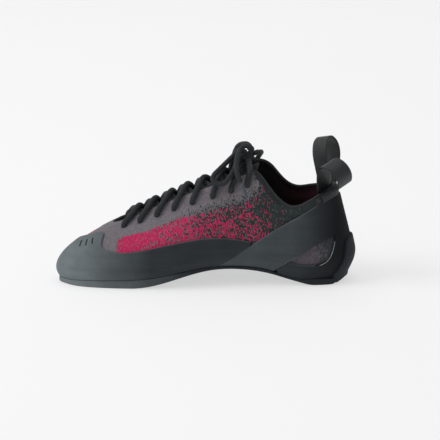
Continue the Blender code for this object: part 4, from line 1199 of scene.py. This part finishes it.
def braided_cord(name, colour, ribs=200.0):
    """Round braid of polyester: crossing diagonal strands, with painted highlights on their crests and
    painted shade, near black, between them.
    """
    material, shader = new_finish(name)
    weave = uv(material, "Weave")
    strands = []
    for lean in (0.9, -0.9):
        turned = node(material, "ShaderNodeMapping", {"Vector": weave, "Rotation": (0, 0, lean)})
        strands.append(wave(material, turned.outputs[0], ribs))
    cross = computed(material, "MAXIMUM", *strands)
    # Painted shade between the strands and painted highlight on their crests
    tone = mixed(material, cross, paint("#060708"), rgba(colour))
    connect(material, shader, {"Base Color": tone, "Normal": bump(material, cross, 0.6, 0.0003),
                               "Roughness": 0.8, "Sheen Weight": 0.04})
    return material


def twisted_thread(name, low, high):
    """Twisted polyester sewing thread: a hard fine twist with a slight shine."""
    material, shader = new_finish(name)
    ply = wave(material, uv(material, "Weave"), 900.0, bands_direction="DIAGONAL")
    connect(material, shader, {"Base Color": mixed(material, ply, low, high), "Roughness": 0.7})
    return material


def clouded(name, low, high, scale, roughness):
    """A small surface with no pattern of its own: two near tones that drift over it like a cloud."""
    material, shader = new_finish(name)
    cloud = noise(material, in_object(material), scale)
    connect(material, shader, {"Base Color": mixed(material, cloud, paint(low), paint(high)),
                               "Roughness": roughness})
    return material


def moulded_tip():
    """Moulded acetate film round the lace's end: smooth and a little glossy."""
    return clouded("Moulded acetate tip", "#353c46", "#525b66", 400.0, 0.3)


def cut_edge_highlight():
    """The knife-cut edge of the heel rubber along the window's rear arc: a thin pale line, partly the paler
    cut rubber and partly a painted highlight where the edge catches the light.
    """
    return clouded("Cut rubber edge with painted highlight", "#8f9598", "#b8bec1", 300.0, 0.6)


def slit_shade():
    """The inside of a slit in the toe rubber: nearly black, painted shade so that the slit looks deep."""
    return clouded("Painted shade in toe slit", "#07090a", "#101213", 500.0, 0.95)


SIDES = side_lines()
EYELETS = {(k, medial): eyelet(k, medial) for k in range(len(EYELETS_ALONG)) for medial in (True, False)}


class SHOE_OT_upper(bpy.types.Operator):
    """Knit the upper: one wall on the last, lined inside, with punched eyelets and a turned edge"""

    bl_idname = "shoe.upper"
    bl_label = "Upper"

    def execute(self, context):
        sizes, colours = context.scene.shoe_sizes, context.scene.shoe_colours
        turn = 0.05

        def place(u, v):
            r = 2 * u
            t = np.clip((v - turn) / (1 - turn), 0, 1)
            points = offset(r, t, knit_relief(r, t) * smooth_step(t / 0.2))
            edge = feather(r)
            into = toward_middle(r)
            margin = edge + into * (LASTING_MARGIN * np.clip(1 - v / turn, 0, 1))[:, None]
            margin[:, 2] = bed(margin[:, 0], margin[:, 1])
            return np.where((v < turn)[:, None], margin, points)

        def zones(u, v):
            return knit_zones(2 * u, np.clip((v - turn) / (1 - turn), 0, 1))

        upper = laid("upper_knit", 470, 80, place, zones)
        weld(upper)
        for material in (knitted_upper(colours, sizes), brushed_lining(colours)):
            upper.data.materials.append(material)
        finish_with(upper, "SOLIDIFY", thickness=UPPER_WALL * MM, offset=-1.0, material_offset=1,
                    material_offset_rim=0)
        dress(upper, "knit", ["upper"])
        cutters = []
        for r, t in EYELETS.values():
            deselect()
            centre, way = offset(r, t, 0.0) * MM, normal(r, t)
            turn_to = Vector(way).to_track_quat("Z", "Y").to_euler()
            bpy.ops.mesh.primitive_cylinder_add(vertices=20, radius=EYELET_DIAMETER / 2 * MM,
                                                depth=4 * UPPER_WALL * MM, location=centre, rotation=turn_to)
            cutters.append(bpy.context.object)
        deselect()
        for cutter in cutters:
            cutter.select_set(True)
        bpy.context.view_layer.objects.active = cutters[0]
        bpy.ops.object.join()
        pins = bpy.context.object
        finish_with(upper, "BOOLEAN", object=pins, operation="DIFFERENCE", solver="EXACT")
        bpy.data.objects.remove(pins)
        stations = np.linspace(0, 2, 361)
        lift = np.full(len(stations), -UPPER_WALL / 2)
        line = offset(stations, np.ones_like(stations), lift)
        roll = sizes.roll / MM / 2 + UPPER_WALL / 2
        line[-1] = line[0]
        self.edge_roll(line, roll * 2 * 0.86)
        return {"FINISHED"}

    def edge_roll(self, line, diameter):
        """The turned and felled edge all round the throat and collar."""
        ahead = ring_ahead(line)
        stations = np.linspace(0, 2, len(line))
        out = normal(stations, np.ones_like(stations))
        out = unit(out - ahead * np.sum(out * ahead, axis=1)[:, None])
        flat = 0.84
        roll = tube("edge_roll", line, out, np.cross(out, ahead) * flat, np.full(len(line), diameter / 2))
        dress(roll, "knit", [], braided_cord("Knitted edge binding", paint("#2b3031")[:3], 420.0))


class SHOE_OT_tongue(bpy.types.Operator):
    """Lay the padded tongue under both eyestays, and the lasting board inside"""

    bl_idname = "shoe.tongue"
    bl_label = "Tongue and insole"

    def execute(self, context):
        colours = context.scene.shoe_colours
        surface = tongue_rows()
        out = unit(np.cross(np.gradient(surface, axis=0), np.gradient(surface, axis=1)))
        out = np.where(out[..., 2:] < 0, -out, out)
        count, wide = surface.shape[:2]
        top = surface - out * (UPPER_WALL + BOND)

        def place(u, v):
            i = np.round(v * (count - 1)).astype(int)
            j = np.round(u * (wide - 1)).astype(int)
            return top[i, j]

        tongue = laid("tongue_pad", wide - 1, count - 1, place)
        self.thicken(tongue, TONGUE_THICKNESS)
        finish_with(tongue, "SUBSURF", levels=3, render_levels=3)
        dress(tongue, "lining", ["tongue"],
              brushed_lining(colours, "Padded knit tongue", paint("#1d1a1c")))
        base = UPPER_WALL + BOND + GAP

        def board(u, v):
            medial, lateral = (feather(r) + inward(r) * (UPPER_WALL * 1.1 + WELT) for r in (u, 2.0 - u))
            plan = medial * (1 - v)[:, None] + lateral * v[:, None]
            plan[:, 2] = bed(plan[:, 0], plan[:, 1]) + base + INSOLE_THICKNESS
            return plan

        insole = laid("insole_board", 120, 24, board)
        self.thicken(insole, INSOLE_THICKNESS)
        dress(insole, "lining", ["insole"], brushed_lining(colours, "Felt insole", paint("#1a1718")))
        return {"FINISHED"}

    def thicken(self, piece, thickness):
        """Makes a surface solid, down from where it lies."""
        faces_down = sum(face.normal.z for face in piece.data.polygons) < 0
        finish_with(piece, "SOLIDIFY", thickness=thickness * MM, offset=1.0 if faces_down else -1.0)


class SHOE_OT_rands(bpy.types.Operator):
    """Glue on the front rand, the slingshot and the heel cup"""

    bl_idname = "shoe.rands"
    bl_label = "Rubber rands"

    def execute(self, context):
        sizes, colours = context.scene.shoe_sizes, context.scene.shoe_colours
        thick, seam = sizes.rubber / MM, sizes.seam / MM
        heel_shade_tone, rear_tone = colours.heel_rubber_shade, colours.rear_rubber
        # Painted light and shade: the toe rand is lighter towards the toe's front, and the slingshot and the
        # heel cup darken to painted shade at the back of the heel.
        toe = sheet_rubber("Calendered toe rubber", colours.lit_toe_rubber, rear_tone, (-0.105, -0.045))
        band = sheet_rubber("Tensioned slingshot rubber", colours.band_rubber, heel_shade_tone, (0.075, 0.112))
        rear = sheet_rubber("Calendered heel rubber", rear_tone, heel_shade_tone, (0.08, 0.115))
        front = on_last("rand_front", rand_end(-1), rand_end(1), lambda r: sling_seam(r, seam), rand_top,
                        thick, 640, 40, relief=self.toe_relief, sunk=0.4)
        dress(front, "rubber", ["front_rand"], toe)
        sling = on_last("rand_slingshot", SLING_START, 2.0 - SLING_START, lambda r: t_on_line(r, SLING_LOW),
                        lambda r: max(t_on_line(r, SLING_TOP), t_on_line(r, SLING_LOW) + 0.03), thick,
                        460, 40, fused=(1.0, 0.0))
        dress(sling, "rubber", ["slingshot_rand"], band)
        first, last = cup_start(1), 2.0 - cup_start(-1)
        cup = on_last("rand_heel_cup", first, last, lambda r: 0.0, lambda r: self.cup_line(r, seam), thick,
                      420, 30, fused=(0.0, 1.0), sunk=0.9)
        dress(cup, "rubber", ["heel_cup"], rear)
        cut, shade = cut_edge_highlight(), slit_shade()
        # A thin pale cord along each window's rear arc: a painted highlight on the cut edge.
        for word, side in (("medial", 1), ("lateral", -1)):
            rows = [(side * r, self.cup_line(side * r % 2.0, seam)) for r in np.linspace(*WINDOW_ARC, 40)]
            line = on_skin(rows, BOND + thick - 0.05, 90)
            edge = cord_piece("window_highlight_edge_" + word, close_ends(line, 0.4), 0.4, around=6)
            dress(edge, "rubber", [], cut)
        # Each toe slit is a near-black cord sunk in the rubber: painted shade inside the slit.
        for index, ends in enumerate(TOE_SLITS):
            line = on_skin(ends, BOND + thick - 0.3, 30)
            slit = cord_piece("toe_slit_shade_%d" % index, close_ends(line, 1.1), 1.1, around=8)
            dress(slit, "rubber", [], shade)
        return {"FINISHED"}

    def cup_line(self, r, seam):
        top = cup_seam(r, seam * (1 - float(behind_window(r))))
        share = (float(skin(r, top)[0]) + MIDDLE) / SHOE_LENGTH
        if WINDOW_CUT[0][0] < share < WINDOW_CUT[-1][0]:
            top = min(top, t_on_line(r, WINDOW_CUT))
        return max(top, CUP_TIP)

    def toe_relief(self, r, t):
        """Dents round the three slits, and the soft step where the toe rubber is doubled."""
        rise = np.zeros(np.shape(r))
        signed = np.where(np.mod(r, 2.0) > 1.0, np.mod(r, 2.0) - 2.0, np.mod(r, 2.0))
        for (r0, t0), (r1, t1) in TOE_SLITS:
            start, end = skin(r0, t0), skin(r1, t1)
            points = skin(r, t)
            share = np.clip(((points - start) @ (end - start)) / ((end - start) @ (end - start)), 0, 1)
            gap = np.linalg.norm(points - start - share[:, None] * (end - start), axis=-1)
            rise = rise - 0.35 * np.exp(-((gap / 1.3) ** 2))
        fold = 0.33 - 0.18 * smooth_step((signed - 0.30) / 0.25)
        away = (t - fold) * PLANE[1]
        fade = smooth_step((signed - 0.16) / 0.08) * smooth_step((0.56 - signed) / 0.12)
        return rise + fade * 0.35 * np.tanh(-away / 1.2)


class SHOE_OT_outsole(bpy.types.Operator):
    """Mould the outsole, with its wrap up the back of the heel"""

    bl_idname = "shoe.outsole"
    bl_label = "Outsole"

    def execute(self, context):
        colours = context.scene.shoe_colours
        # Painted light: the sole is lighter at its front, in the toe rubber's pale tone, and darkens towards
        # the arch.
        rubber = sheet_rubber("Moulded sole rubber", colours.lit_toe_rubber, colours.sole_rubber,
                              (-0.1, -0.01), edges=False)
        upper_edge, lower_edge, across = 0.4, 1.6, 16
        arc = np.linspace(0, np.pi / 2, 5)
        down = [(upper_edge * (1 - math.sin(a)), 0.0, upper_edge * (1 - math.cos(a))) for a in arc]
        down += [(lower_edge * (1 - math.cos(a)), 1.0, -lower_edge * (1 - math.sin(a))) for a in arc]
        medial_side = [(inset, share, extra, 0.0) for inset, share, extra in down]
        bottom = [(lower_edge, 1.0, 0.0, v) for v in np.linspace(0, 1, across + 1)[1:-1]]
        lateral_side = [(inset, share, extra, 1.0) for inset, share, extra in reversed(down)]
        top = [(upper_edge, 0.0, 0.0, v) for v in np.linspace(1, 0, across + 1)[1:-1]]
        loop = np.array([*medial_side, *bottom, *lateral_side, *top, medial_side[0]])

        def place(u, v):
            i = np.round(v * (len(loop) - 1)).astype(int)
            inset, share, extra, far = loop[i].T
            s = crowded(u, 0.7)
            rounder = 1 + smooth_step((s - 0.86) / 0.1) * (share > 0)
            inset = inset * rounder + 0.9 * smooth_step((s - 0.94) / 0.03)
            extra = extra * rounder
            medial, lateral = sole_edge(s), sole_edge(2.0 - s)
            near = medial + inward(s) * inset[:, None]
            other = lateral + inward(2.0 - s) * inset[:, None]
            plan = near * (1 - far)[:, None] + other * far[:, None]
            x, y = plan[:, 0], plan[:, 1]
            high = bed(x, y) - GAP
            low = between_sides(x, y, 3)
            fits = np.minimum(1, 0.55 * (high - low) / (lower_edge * rounder))
            plan[:, 2] = high * (1 - share) + low * share - extra * np.where(share > 0, fits, 1)
            return plan

        sole = laid("outsole_plate", 200, len(loop) - 1, place, closed=True)
        dress(sole, "rubber", ["outsole"], rubber)
        first = HEEL_WRAP_TOP[0][0]
        base = BOND + RUBBER + WELT

        def wrap_top(r):
            station = r if r <= 1.0 else 2.0 - r
            return t_at_height(r, from_table(HEEL_WRAP_TOP, station) * HEEL_WRAP_HEIGHT)

        stations = np.linspace(first, 2.0 - first, 120)
        high = np.array([wrap_top(r) for r in stations])

        def back(u, v):
            r = first + (2.0 - 2 * first) * u
            t = np.interp(r, stations, high)
            share = crowded(v)
            height = np.linalg.norm(skin(r, t) - skin(r, 0 * t), axis=-1)
            away = np.minimum(u, 1 - u) * 30
            thick = HEEL_WRAP_THICKNESS * (1 - 0.35 * share)
            top = np.clip((1 - share) * height / 1.6, 0, 1)
            rise = base - 1.6 + (thick + 1.6) * np.sqrt(1 - (1 - top) ** 2) * smooth_step(away)
            points = offset(r, t * share, rise)
            foot = feather(r) - inward(r) * (rise + 0.2)[:, None]
            foot[:, 2] = ground(r) + np.minimum(2 * lower_edge, 0.3 * (seat(r) - ground(r)))
            low = np.clip(1 - share * height / 2.6, 0, 1)[:, None]
            return points * (1 - low) + foot * low

        wrap = laid("outsole_heel_wrap", 160, 44, back)
        finish_with(wrap, "SOLIDIFY", thickness=1.2 * MM, offset=-1.0)
        dress(wrap, "rubber", ["outsole"], rubber)
        return {"FINISHED"}


class SHOE_OT_loops(bpy.types.Operator):
    """Sew on the heel tab and the two pull loops"""

    bl_idname = "shoe.loops"
    bl_label = "Heel tab and pull loops"

    def execute(self, context):
        sizes, colours = context.scene.shoe_sizes, context.scene.shoe_colours
        tape = woven_tape(colours)
        tab = on_last("heel_tab_tape", TAB_START, 2.0 - TAB_START, lambda r: sling_seam(r, sizes.seam / MM),
                      lambda r: 0.995, TAB_THICKNESS, 90, 24, edge=0.6)
        dress(tab, "webbing", ["heel_tab"], tape)
        for name, medial, height, route, node_name in (
            ("loop_tape_medial", True, NEAR_LOOP_HEIGHT, NEAR_LOOP_PATH, "pull_loop_medial"),
            ("loop_tape_lateral", False, FAR_LOOP_HEIGHT, FAR_LOOP_PATH, "pull_loop_lateral"),
        ):
            middle = self.tape_line(medial, height, route)
            count, wide = middle.shape[:2]

            def place(u, v):
                return middle[np.round(u * (count - 1)).astype(int), np.round(v * (wide - 1)).astype(int)]

            loop = laid(name, count - 1, wide - 1, place)
            finish_with(loop, "SOLIDIFY", thickness=WEBBING_THICKNESS * MM, offset=0.0)
            finish_with(loop, "BEVEL", width=0.35 * MM, segments=2, limit_method="ANGLE",
                        angle_limit=math.radians(60))
            dress(loop, "webbing", [node_name], tape)
            bpy.context.view_layer.objects.active = loop
            bpy.ops.object.shade_smooth()
        return {"FINISHED"}

    def tape_line(self, medial, height, route):
        """The middle surface of one loop, along its length and across its width."""
        r = LOOP_STATION if medial else 2.0 - LOOP_STATION
        edge = skin(r, 1.0)
        step = 0.02
        along = (skin(r + step, 1.0) - skin(r - step, 1.0)) / (2 * step)
        pace = np.linalg.norm(along)
        along = along / pace
        out = unit(np.array([along[1], -along[0], 0.0]))
        up = np.cross(out, along)
        up = up if up[2] > 0 else -up
        t_pace = 0.1 / np.linalg.norm(skin(r, 1.0) - skin(r, 0.9))
        leg_out = BOND + TAB_THICKNESS + GAP + WEBBING_THICKNESS / 2
        leg_in = -(UPPER_WALL + WELT + WEBBING_THICKNESS / 2)
        stops = [(leg_out, -LOOP_FOOT), (leg_out, -LOOP_FOOT / 2), (leg_out, 0.0)] + [
            (n * height, z * height) for n, z in route
        ] + [(leg_in, 0.0), (leg_in, -LOOP_FOOT / 2), (leg_in, -LOOP_FOOT)]
        path = smooth_path([(n, z, 0.0) for n, z in stops], 110)
        columns = []
        for w in np.linspace(-0.5, 0.5, 13) * WEBBING_WIDTH:
            column = []
            for n, z, _ in path:
                free = edge + along * w + out * n + up * z
                worn = offset(r + w / pace, min(1.0, 1.0 + z * t_pace), np.array(n)) + up * max(z, 0.0)
                blend = float(smooth_step(z / (height * 0.4)))
                column.append(worn * (1 - blend) + free * blend)
            columns.append(column)
        return np.array(columns).transpose(1, 0, 2)


class SHOE_OT_laces(bpy.types.Operator):
    """Thread the lace through the eyelets, and tie its bow"""

    bl_idname = "shoe.laces"
    bl_label = "Laces and bow"

    def execute(self, context):
        colours = context.scene.shoe_colours
        diameter = context.scene.shoe_sizes.lace / MM
        full = diameter * RUN_FULLNESS
        braid = braided_cord("Braided polyester lace", colours.lace)
        tip = moulded_tip()
        for name, medial in (("lace_run_medial", True), ("lace_run_lateral", False)):
            path = smooth_path(self.threaded(medial, full / 2), 620)
            run = cord_piece(name, close_ends(path, full), full)
            dress(run, "lace", ["lace_crossings"], braid)
        self.tie_knot(diameter, braid)
        for name, node_name, route, returns, far_end, aglet in (
            ("bow_medial", "bow_loop_medial", NEAR_BOW_LOOP, True, "object", None),
            ("bow_lateral", "bow_loop_lateral", FAR_BOW_LOOP, True, "object", None),
            ("end_medial", "lace_end_medial", NEAR_LACE_END, False, "fitting",
             ("aglet_tip_medial", "aglet_medial", (0.40, -0.33, -1.0))),
            ("end_lateral", "lace_end_lateral", FAR_LACE_END, False, "fitting",
             ("aglet_tip_lateral", "aglet_lateral", (-0.3, 0.3, -1.0))),
        ):
            stops = list(knot_centre() + np.array(route[1:]) * LACE_DIAMETER)
            stops = [at_knot(route[0]), at_knot(route[0], LACE_DIAMETER)] + stops
            if returns:
                stops[-1:] = [at_knot(route[-1], LACE_DIAMETER), at_knot(route[-1])]
            if np.linalg.norm(stops[2] - stops[1]) < LACE_DIAMETER:
                del stops[1]  # two stops this close would fold the cord
            reach = np.linalg.norm(np.diff(stops, axis=0), axis=1).sum()
            path = close_ends(smooth_path(stops, int(reach / CORD_STEP)), diameter)
            lace = cord_piece(name, path, diameter)
            dress(lace, "lace", [node_name], braid)
            if aglet:
                self.aglet(*aglet, stops[-1], tip)
            run = float(np.linalg.norm(np.diff(path, axis=0), axis=1).sum()) * MM
            [tuple(p * MM) for p in path]
        return {"FINISHED"}

    def threaded(self, first_medial, half):
        """Stops of one run: out of an eyelet, over the edge, across the tongue and under the other side."""
        count = len(EYELETS_ALONG)
        under = -(UPPER_WALL + half * 0.9)
        over = half + 0.25
        pitch = (EYELETS[count - 1, True][0] - EYELETS[0, True][0]) / (count - 1)
        first = EYELETS[0, first_medial]
        side = 1 if first_medial else -1
        points = [offset(first[0] - side * 0.5 * pitch, 1.0, under - half), offset(*first, under)]
        for k in range(count):
            medial = first_medial if k % 2 == 0 else not first_medial
            side = 1 if medial else -1
            r, t = EYELETS[k, medial]
            points += [
                offset(r, t, -UPPER_WALL * 0.4),
                offset(r + side * 0.06 * pitch, t + (1 - t) * 0.14, half * 0.9),
                offset(r + side * 0.18 * pitch, t + (1 - t) * 0.5, over),
                offset(r + side * 0.34 * pitch, 1.0, over + 0.2),
            ]
            if k == count - 1:
                break
            far_r, far_t = EYELETS[k + 1, not medial]
            s_mid = EYELETS[k, True][0] + 0.62 * pitch
            lift = half + 1.9 if (k % 2 == 0) == first_medial else -0.2
            points += [
                throat_bridge(s_mid, np.array(0.5)) + np.array([0, 0, lift]),
                offset(far_r + side * 0.10 * pitch, 1.0, under + 0.3),
                offset(far_r + side * 0.02 * pitch, (1 + far_t) / 2, under),
                offset(far_r, far_t, under * 0.9),
            ]
        way = points[-1] - knot_centre()
        points += [at_knot(way, LACE_DIAMETER / 2), at_knot(way, -LACE_DIAMETER / 2)]
        return [np.asarray(p, float) for p in points]

    def tie_knot(self, diameter, braid):
        """The bow's knot: a tight overhand turn of the lace."""
        a = np.linspace(0, 2 * np.pi, 97)
        size, high = 1.25, 2.1
        line = np.stack([size * (np.sin(a) + 2 * np.sin(2 * a)), size * (np.cos(a) - 2 * np.cos(2 * a)),
                         -high * np.sin(3 * a)], axis=1) + knot_centre()
        ahead = ring_ahead(line)
        side = unit(np.cross(ahead, [0.0, 0.0, 1.0]))
        knot = tube("bow_knot", line, side, np.cross(ahead, side), np.full(len(line), diameter / 2))
        dress(knot, "lace", ["lace_knot"], braid)

    def aglet(self, name, node_name, direction, start, tip):
        """The stiff tip crimped on a lace end."""
        towards = unit(np.array(direction))
        first = start + towards * (GAP + LACE_DIAMETER * 0.1)
        steps = np.array([0, 0.02, 0.08, 0.2, 0.6, 1.2, 2.4, 4, 6, 8, 10, 12, 13, 13.6, 13.9, 13.98, 14.0])
        steps = steps / steps[-1] * AGLET_LENGTH
        piece = cord_piece(name, first + np.outer(steps, towards), AGLET_DIAMETER, around=16)
        return dress(piece, "lace", [node_name], tip)


class SHOE_OT_stitching(bpy.types.Operator):
    """Sew the zigzag seam behind the eyestay, the collar's top stitch and the heel tab's rows"""

    bl_idname = "shoe.stitching"
    bl_label = "Stitching"

    def execute(self, context):
        sizes, colours = context.scene.shoe_sizes, context.scene.shoe_colours
        thread, length = sizes.thread / MM, sizes.stitch / MM
        sewing = twisted_thread("Twisted polyester thread", rgba(colours.thread), paint("#2c3234"))
        pale = twisted_thread("Grey polyester thread", paint("#3f454b"), paint("#6a7178"))
        for side, word in ((1, "medial"), (-1, "lateral")):
            rows = np.array([(side * s, t) for s, t in ZIGZAG_LINE])
            path, out = on_skin(rows, 0.8, 60), on_skin(rows, 1.8, 60)
            seam = stitches("zigzag_" + word, path, thread * 1.5, 2.2, swing=1.5, out=out - path)
            dress(seam, "knit", [], sewing)
            rows = [(side * s, 0.90 + 0.02 * math.sin(9 * s)) for s in np.linspace(0.735, 0.915, 24)]
            for index, drop in enumerate((0.0, 0.03)):
                lower = np.array(rows) - [0.0, drop]
                path, out = on_skin(lower, 0.55, 80), on_skin(lower, 1.5, 80)
                seam = stitches("collar_stitch_%s_%d" % (word, index), path, thread, length, out=out - path)
                dress(seam, "knit", [], sewing)
        for index, height in enumerate((0.935, 0.952)):
            rows = [(s, height) for s in np.linspace(TAB_START + 0.006, 2 - TAB_START - 0.006, 24)]
            path, out = on_skin(rows, BOND + TAB_THICKNESS, 90), on_skin(rows, BOND + TAB_THICKNESS + 1, 90)
            seam = stitches("tab_stitch_%d" % index, path, thread, length, out=out - path)
            dress(seam, "webbing", [], pale)
        return {"FINISHED"}


class SHOE_OT_stage(bpy.types.Operator):
    """Set up the pale floor, the soft light and the camera"""

    bl_idname = "shoe.stage"
    bl_label = "Stage"

    def execute(self, context):
        stage, colours = context.scene.shoe_stage, context.scene.shoe_colours
        back = Vector((math.sin(stage.azimuth) * math.cos(stage.elevation),
                       -math.cos(stage.azimuth) * math.cos(stage.elevation), math.sin(stage.elevation)))
        right = Vector((math.cos(stage.azimuth), math.sin(stage.azimuth), 0.0))
        up = back.cross(right)
        scale = stage.view_width / PHOTO_WIDTH
        aim = (right * (PHOTO_WIDTH / 2 - ORIGIN_PIXEL[0]) * scale
               + up * (ORIGIN_PIXEL[1] - PHOTO_WIDTH / 2) * scale)
        deselect()
        bpy.ops.object.camera_add(location=aim + back * stage.distance,
                                  rotation=(-back).to_track_quat("-Z", "Y").to_euler())
        camera = bpy.context.object
        camera.name = "photo_camera"
        camera.data.sensor_width = 36.0
        camera.data.lens = stage.distance * 36.0 / stage.view_width
        camera.data.clip_end = 20.0
        context.scene.camera = camera
        context.scene.view_settings.view_transform = "Standard"
        self.floor(colours)
        world = context.scene.world or bpy.data.worlds.new("Studio")
        context.scene.world = world
        world.use_nodes = True
        sky = world.node_tree.nodes["Background"]
        sky.inputs["Color"].default_value = (1.0, 1.0, 1.0, 1.0)
        sky.inputs["Strength"].default_value = stage.sky
        for name, place, size, power in (
            ("key_light", (-1.9, -0.5, 1.7), 1.4, stage.key_power),
            ("top_light", (0.1, 0.3, 2.2), 1.8, stage.key_power * 0.3),
        ):
            deselect()
            way = Vector((0.0, 0.0, 0.03)) - Vector(place)
            bpy.ops.object.light_add(type="AREA", location=place,
                                     rotation=way.to_track_quat("-Z", "Y").to_euler())
            lamp = bpy.context.object
            lamp.name = name
            lamp.data.size = size
            lamp.data.energy = power
        return {"FINISHED"}

    def floor(self, colours):
        """One sheet of paper that rises behind the shoe in a wide curve."""
        front, deep, turn, bend, wide = -4500, 7300, 1400, 700.0, 9000

        def place(u, v):
            run = front + deep * v
            rise = np.clip(run - turn, 0, None)
            angle = np.clip(rise / bend, 0, np.pi / 2)
            y = np.where(run < turn, run, turn + bend * np.sin(angle))
            straight = np.clip(rise - bend * np.pi / 2, 0, None)
            z = np.where(run < turn, 0.0, bend * (1 - np.cos(angle)) + straight)
            return np.stack([wide * (u - 0.5), y, z], axis=-1)

        paper = laid("floor_paper", 12, 100, place)
        material, shader = new_finish("Matt background paper")
        fibre = noise(material, in_object(material), 900.0)
        connect(material, shader, {"Normal": bump(material, fibre, 0.05, 0.0001),
                                   "Base Color": rgba(colours.floor),
                                   "Emission Color": (0.995, 0.995, 1.0, 1.0), "Emission Strength": 0.57,
                                   "Roughness": 0.9})
        paper.data.materials.append(material)


class SHOE_PT_panel(bpy.types.Panel):
    """The shoe's pieces, in the order that they are built"""

    bl_label = "Climbing Shoe"
    bl_idname = "SHOE_PT_panel"
    bl_space_type = "VIEW_3D"
    bl_region_type = "UI"
    bl_category = "Shoe"

    def draw(self, context):
        for group in (context.scene.shoe_sizes, context.scene.shoe_colours, context.scene.shoe_stage):
            box = self.layout.box()
            for key in group.__annotations__:
                box.prop(group, key)
        for operator in OPERATORS:
            self.layout.operator(operator.bl_idname)


GROUPS = {"shoe_sizes": ShoeSizes, "shoe_colours": ShoeColours, "shoe_stage": ShoeStage}
OPERATORS = [SHOE_OT_stage, SHOE_OT_upper, SHOE_OT_tongue, SHOE_OT_rands, SHOE_OT_outsole, SHOE_OT_loops,
             SHOE_OT_laces, SHOE_OT_stitching]


def register():
    for name, group in GROUPS.items():
        bpy.utils.register_class(group)
        setattr(bpy.types.Scene, name, PointerProperty(type=group))
    for kind in [*OPERATORS, SHOE_PT_panel]:
        bpy.utils.register_class(kind)


def unregister():
    for kind in reversed([*OPERATORS, SHOE_PT_panel]):
        bpy.utils.unregister_class(kind)
    for name, group in GROUPS.items():
        delattr(bpy.types.Scene, name)
        bpy.utils.unregister_class(group)


def main():
    register()
    bpy.ops.shoe.stage()
    bpy.ops.shoe.upper()
    bpy.ops.shoe.tongue()
    bpy.ops.shoe.rands()
    bpy.ops.shoe.outsole()
    bpy.ops.shoe.loops()
    bpy.ops.shoe.laces()
    bpy.ops.shoe.stitching()


if __name__ == "__main__":
    main()
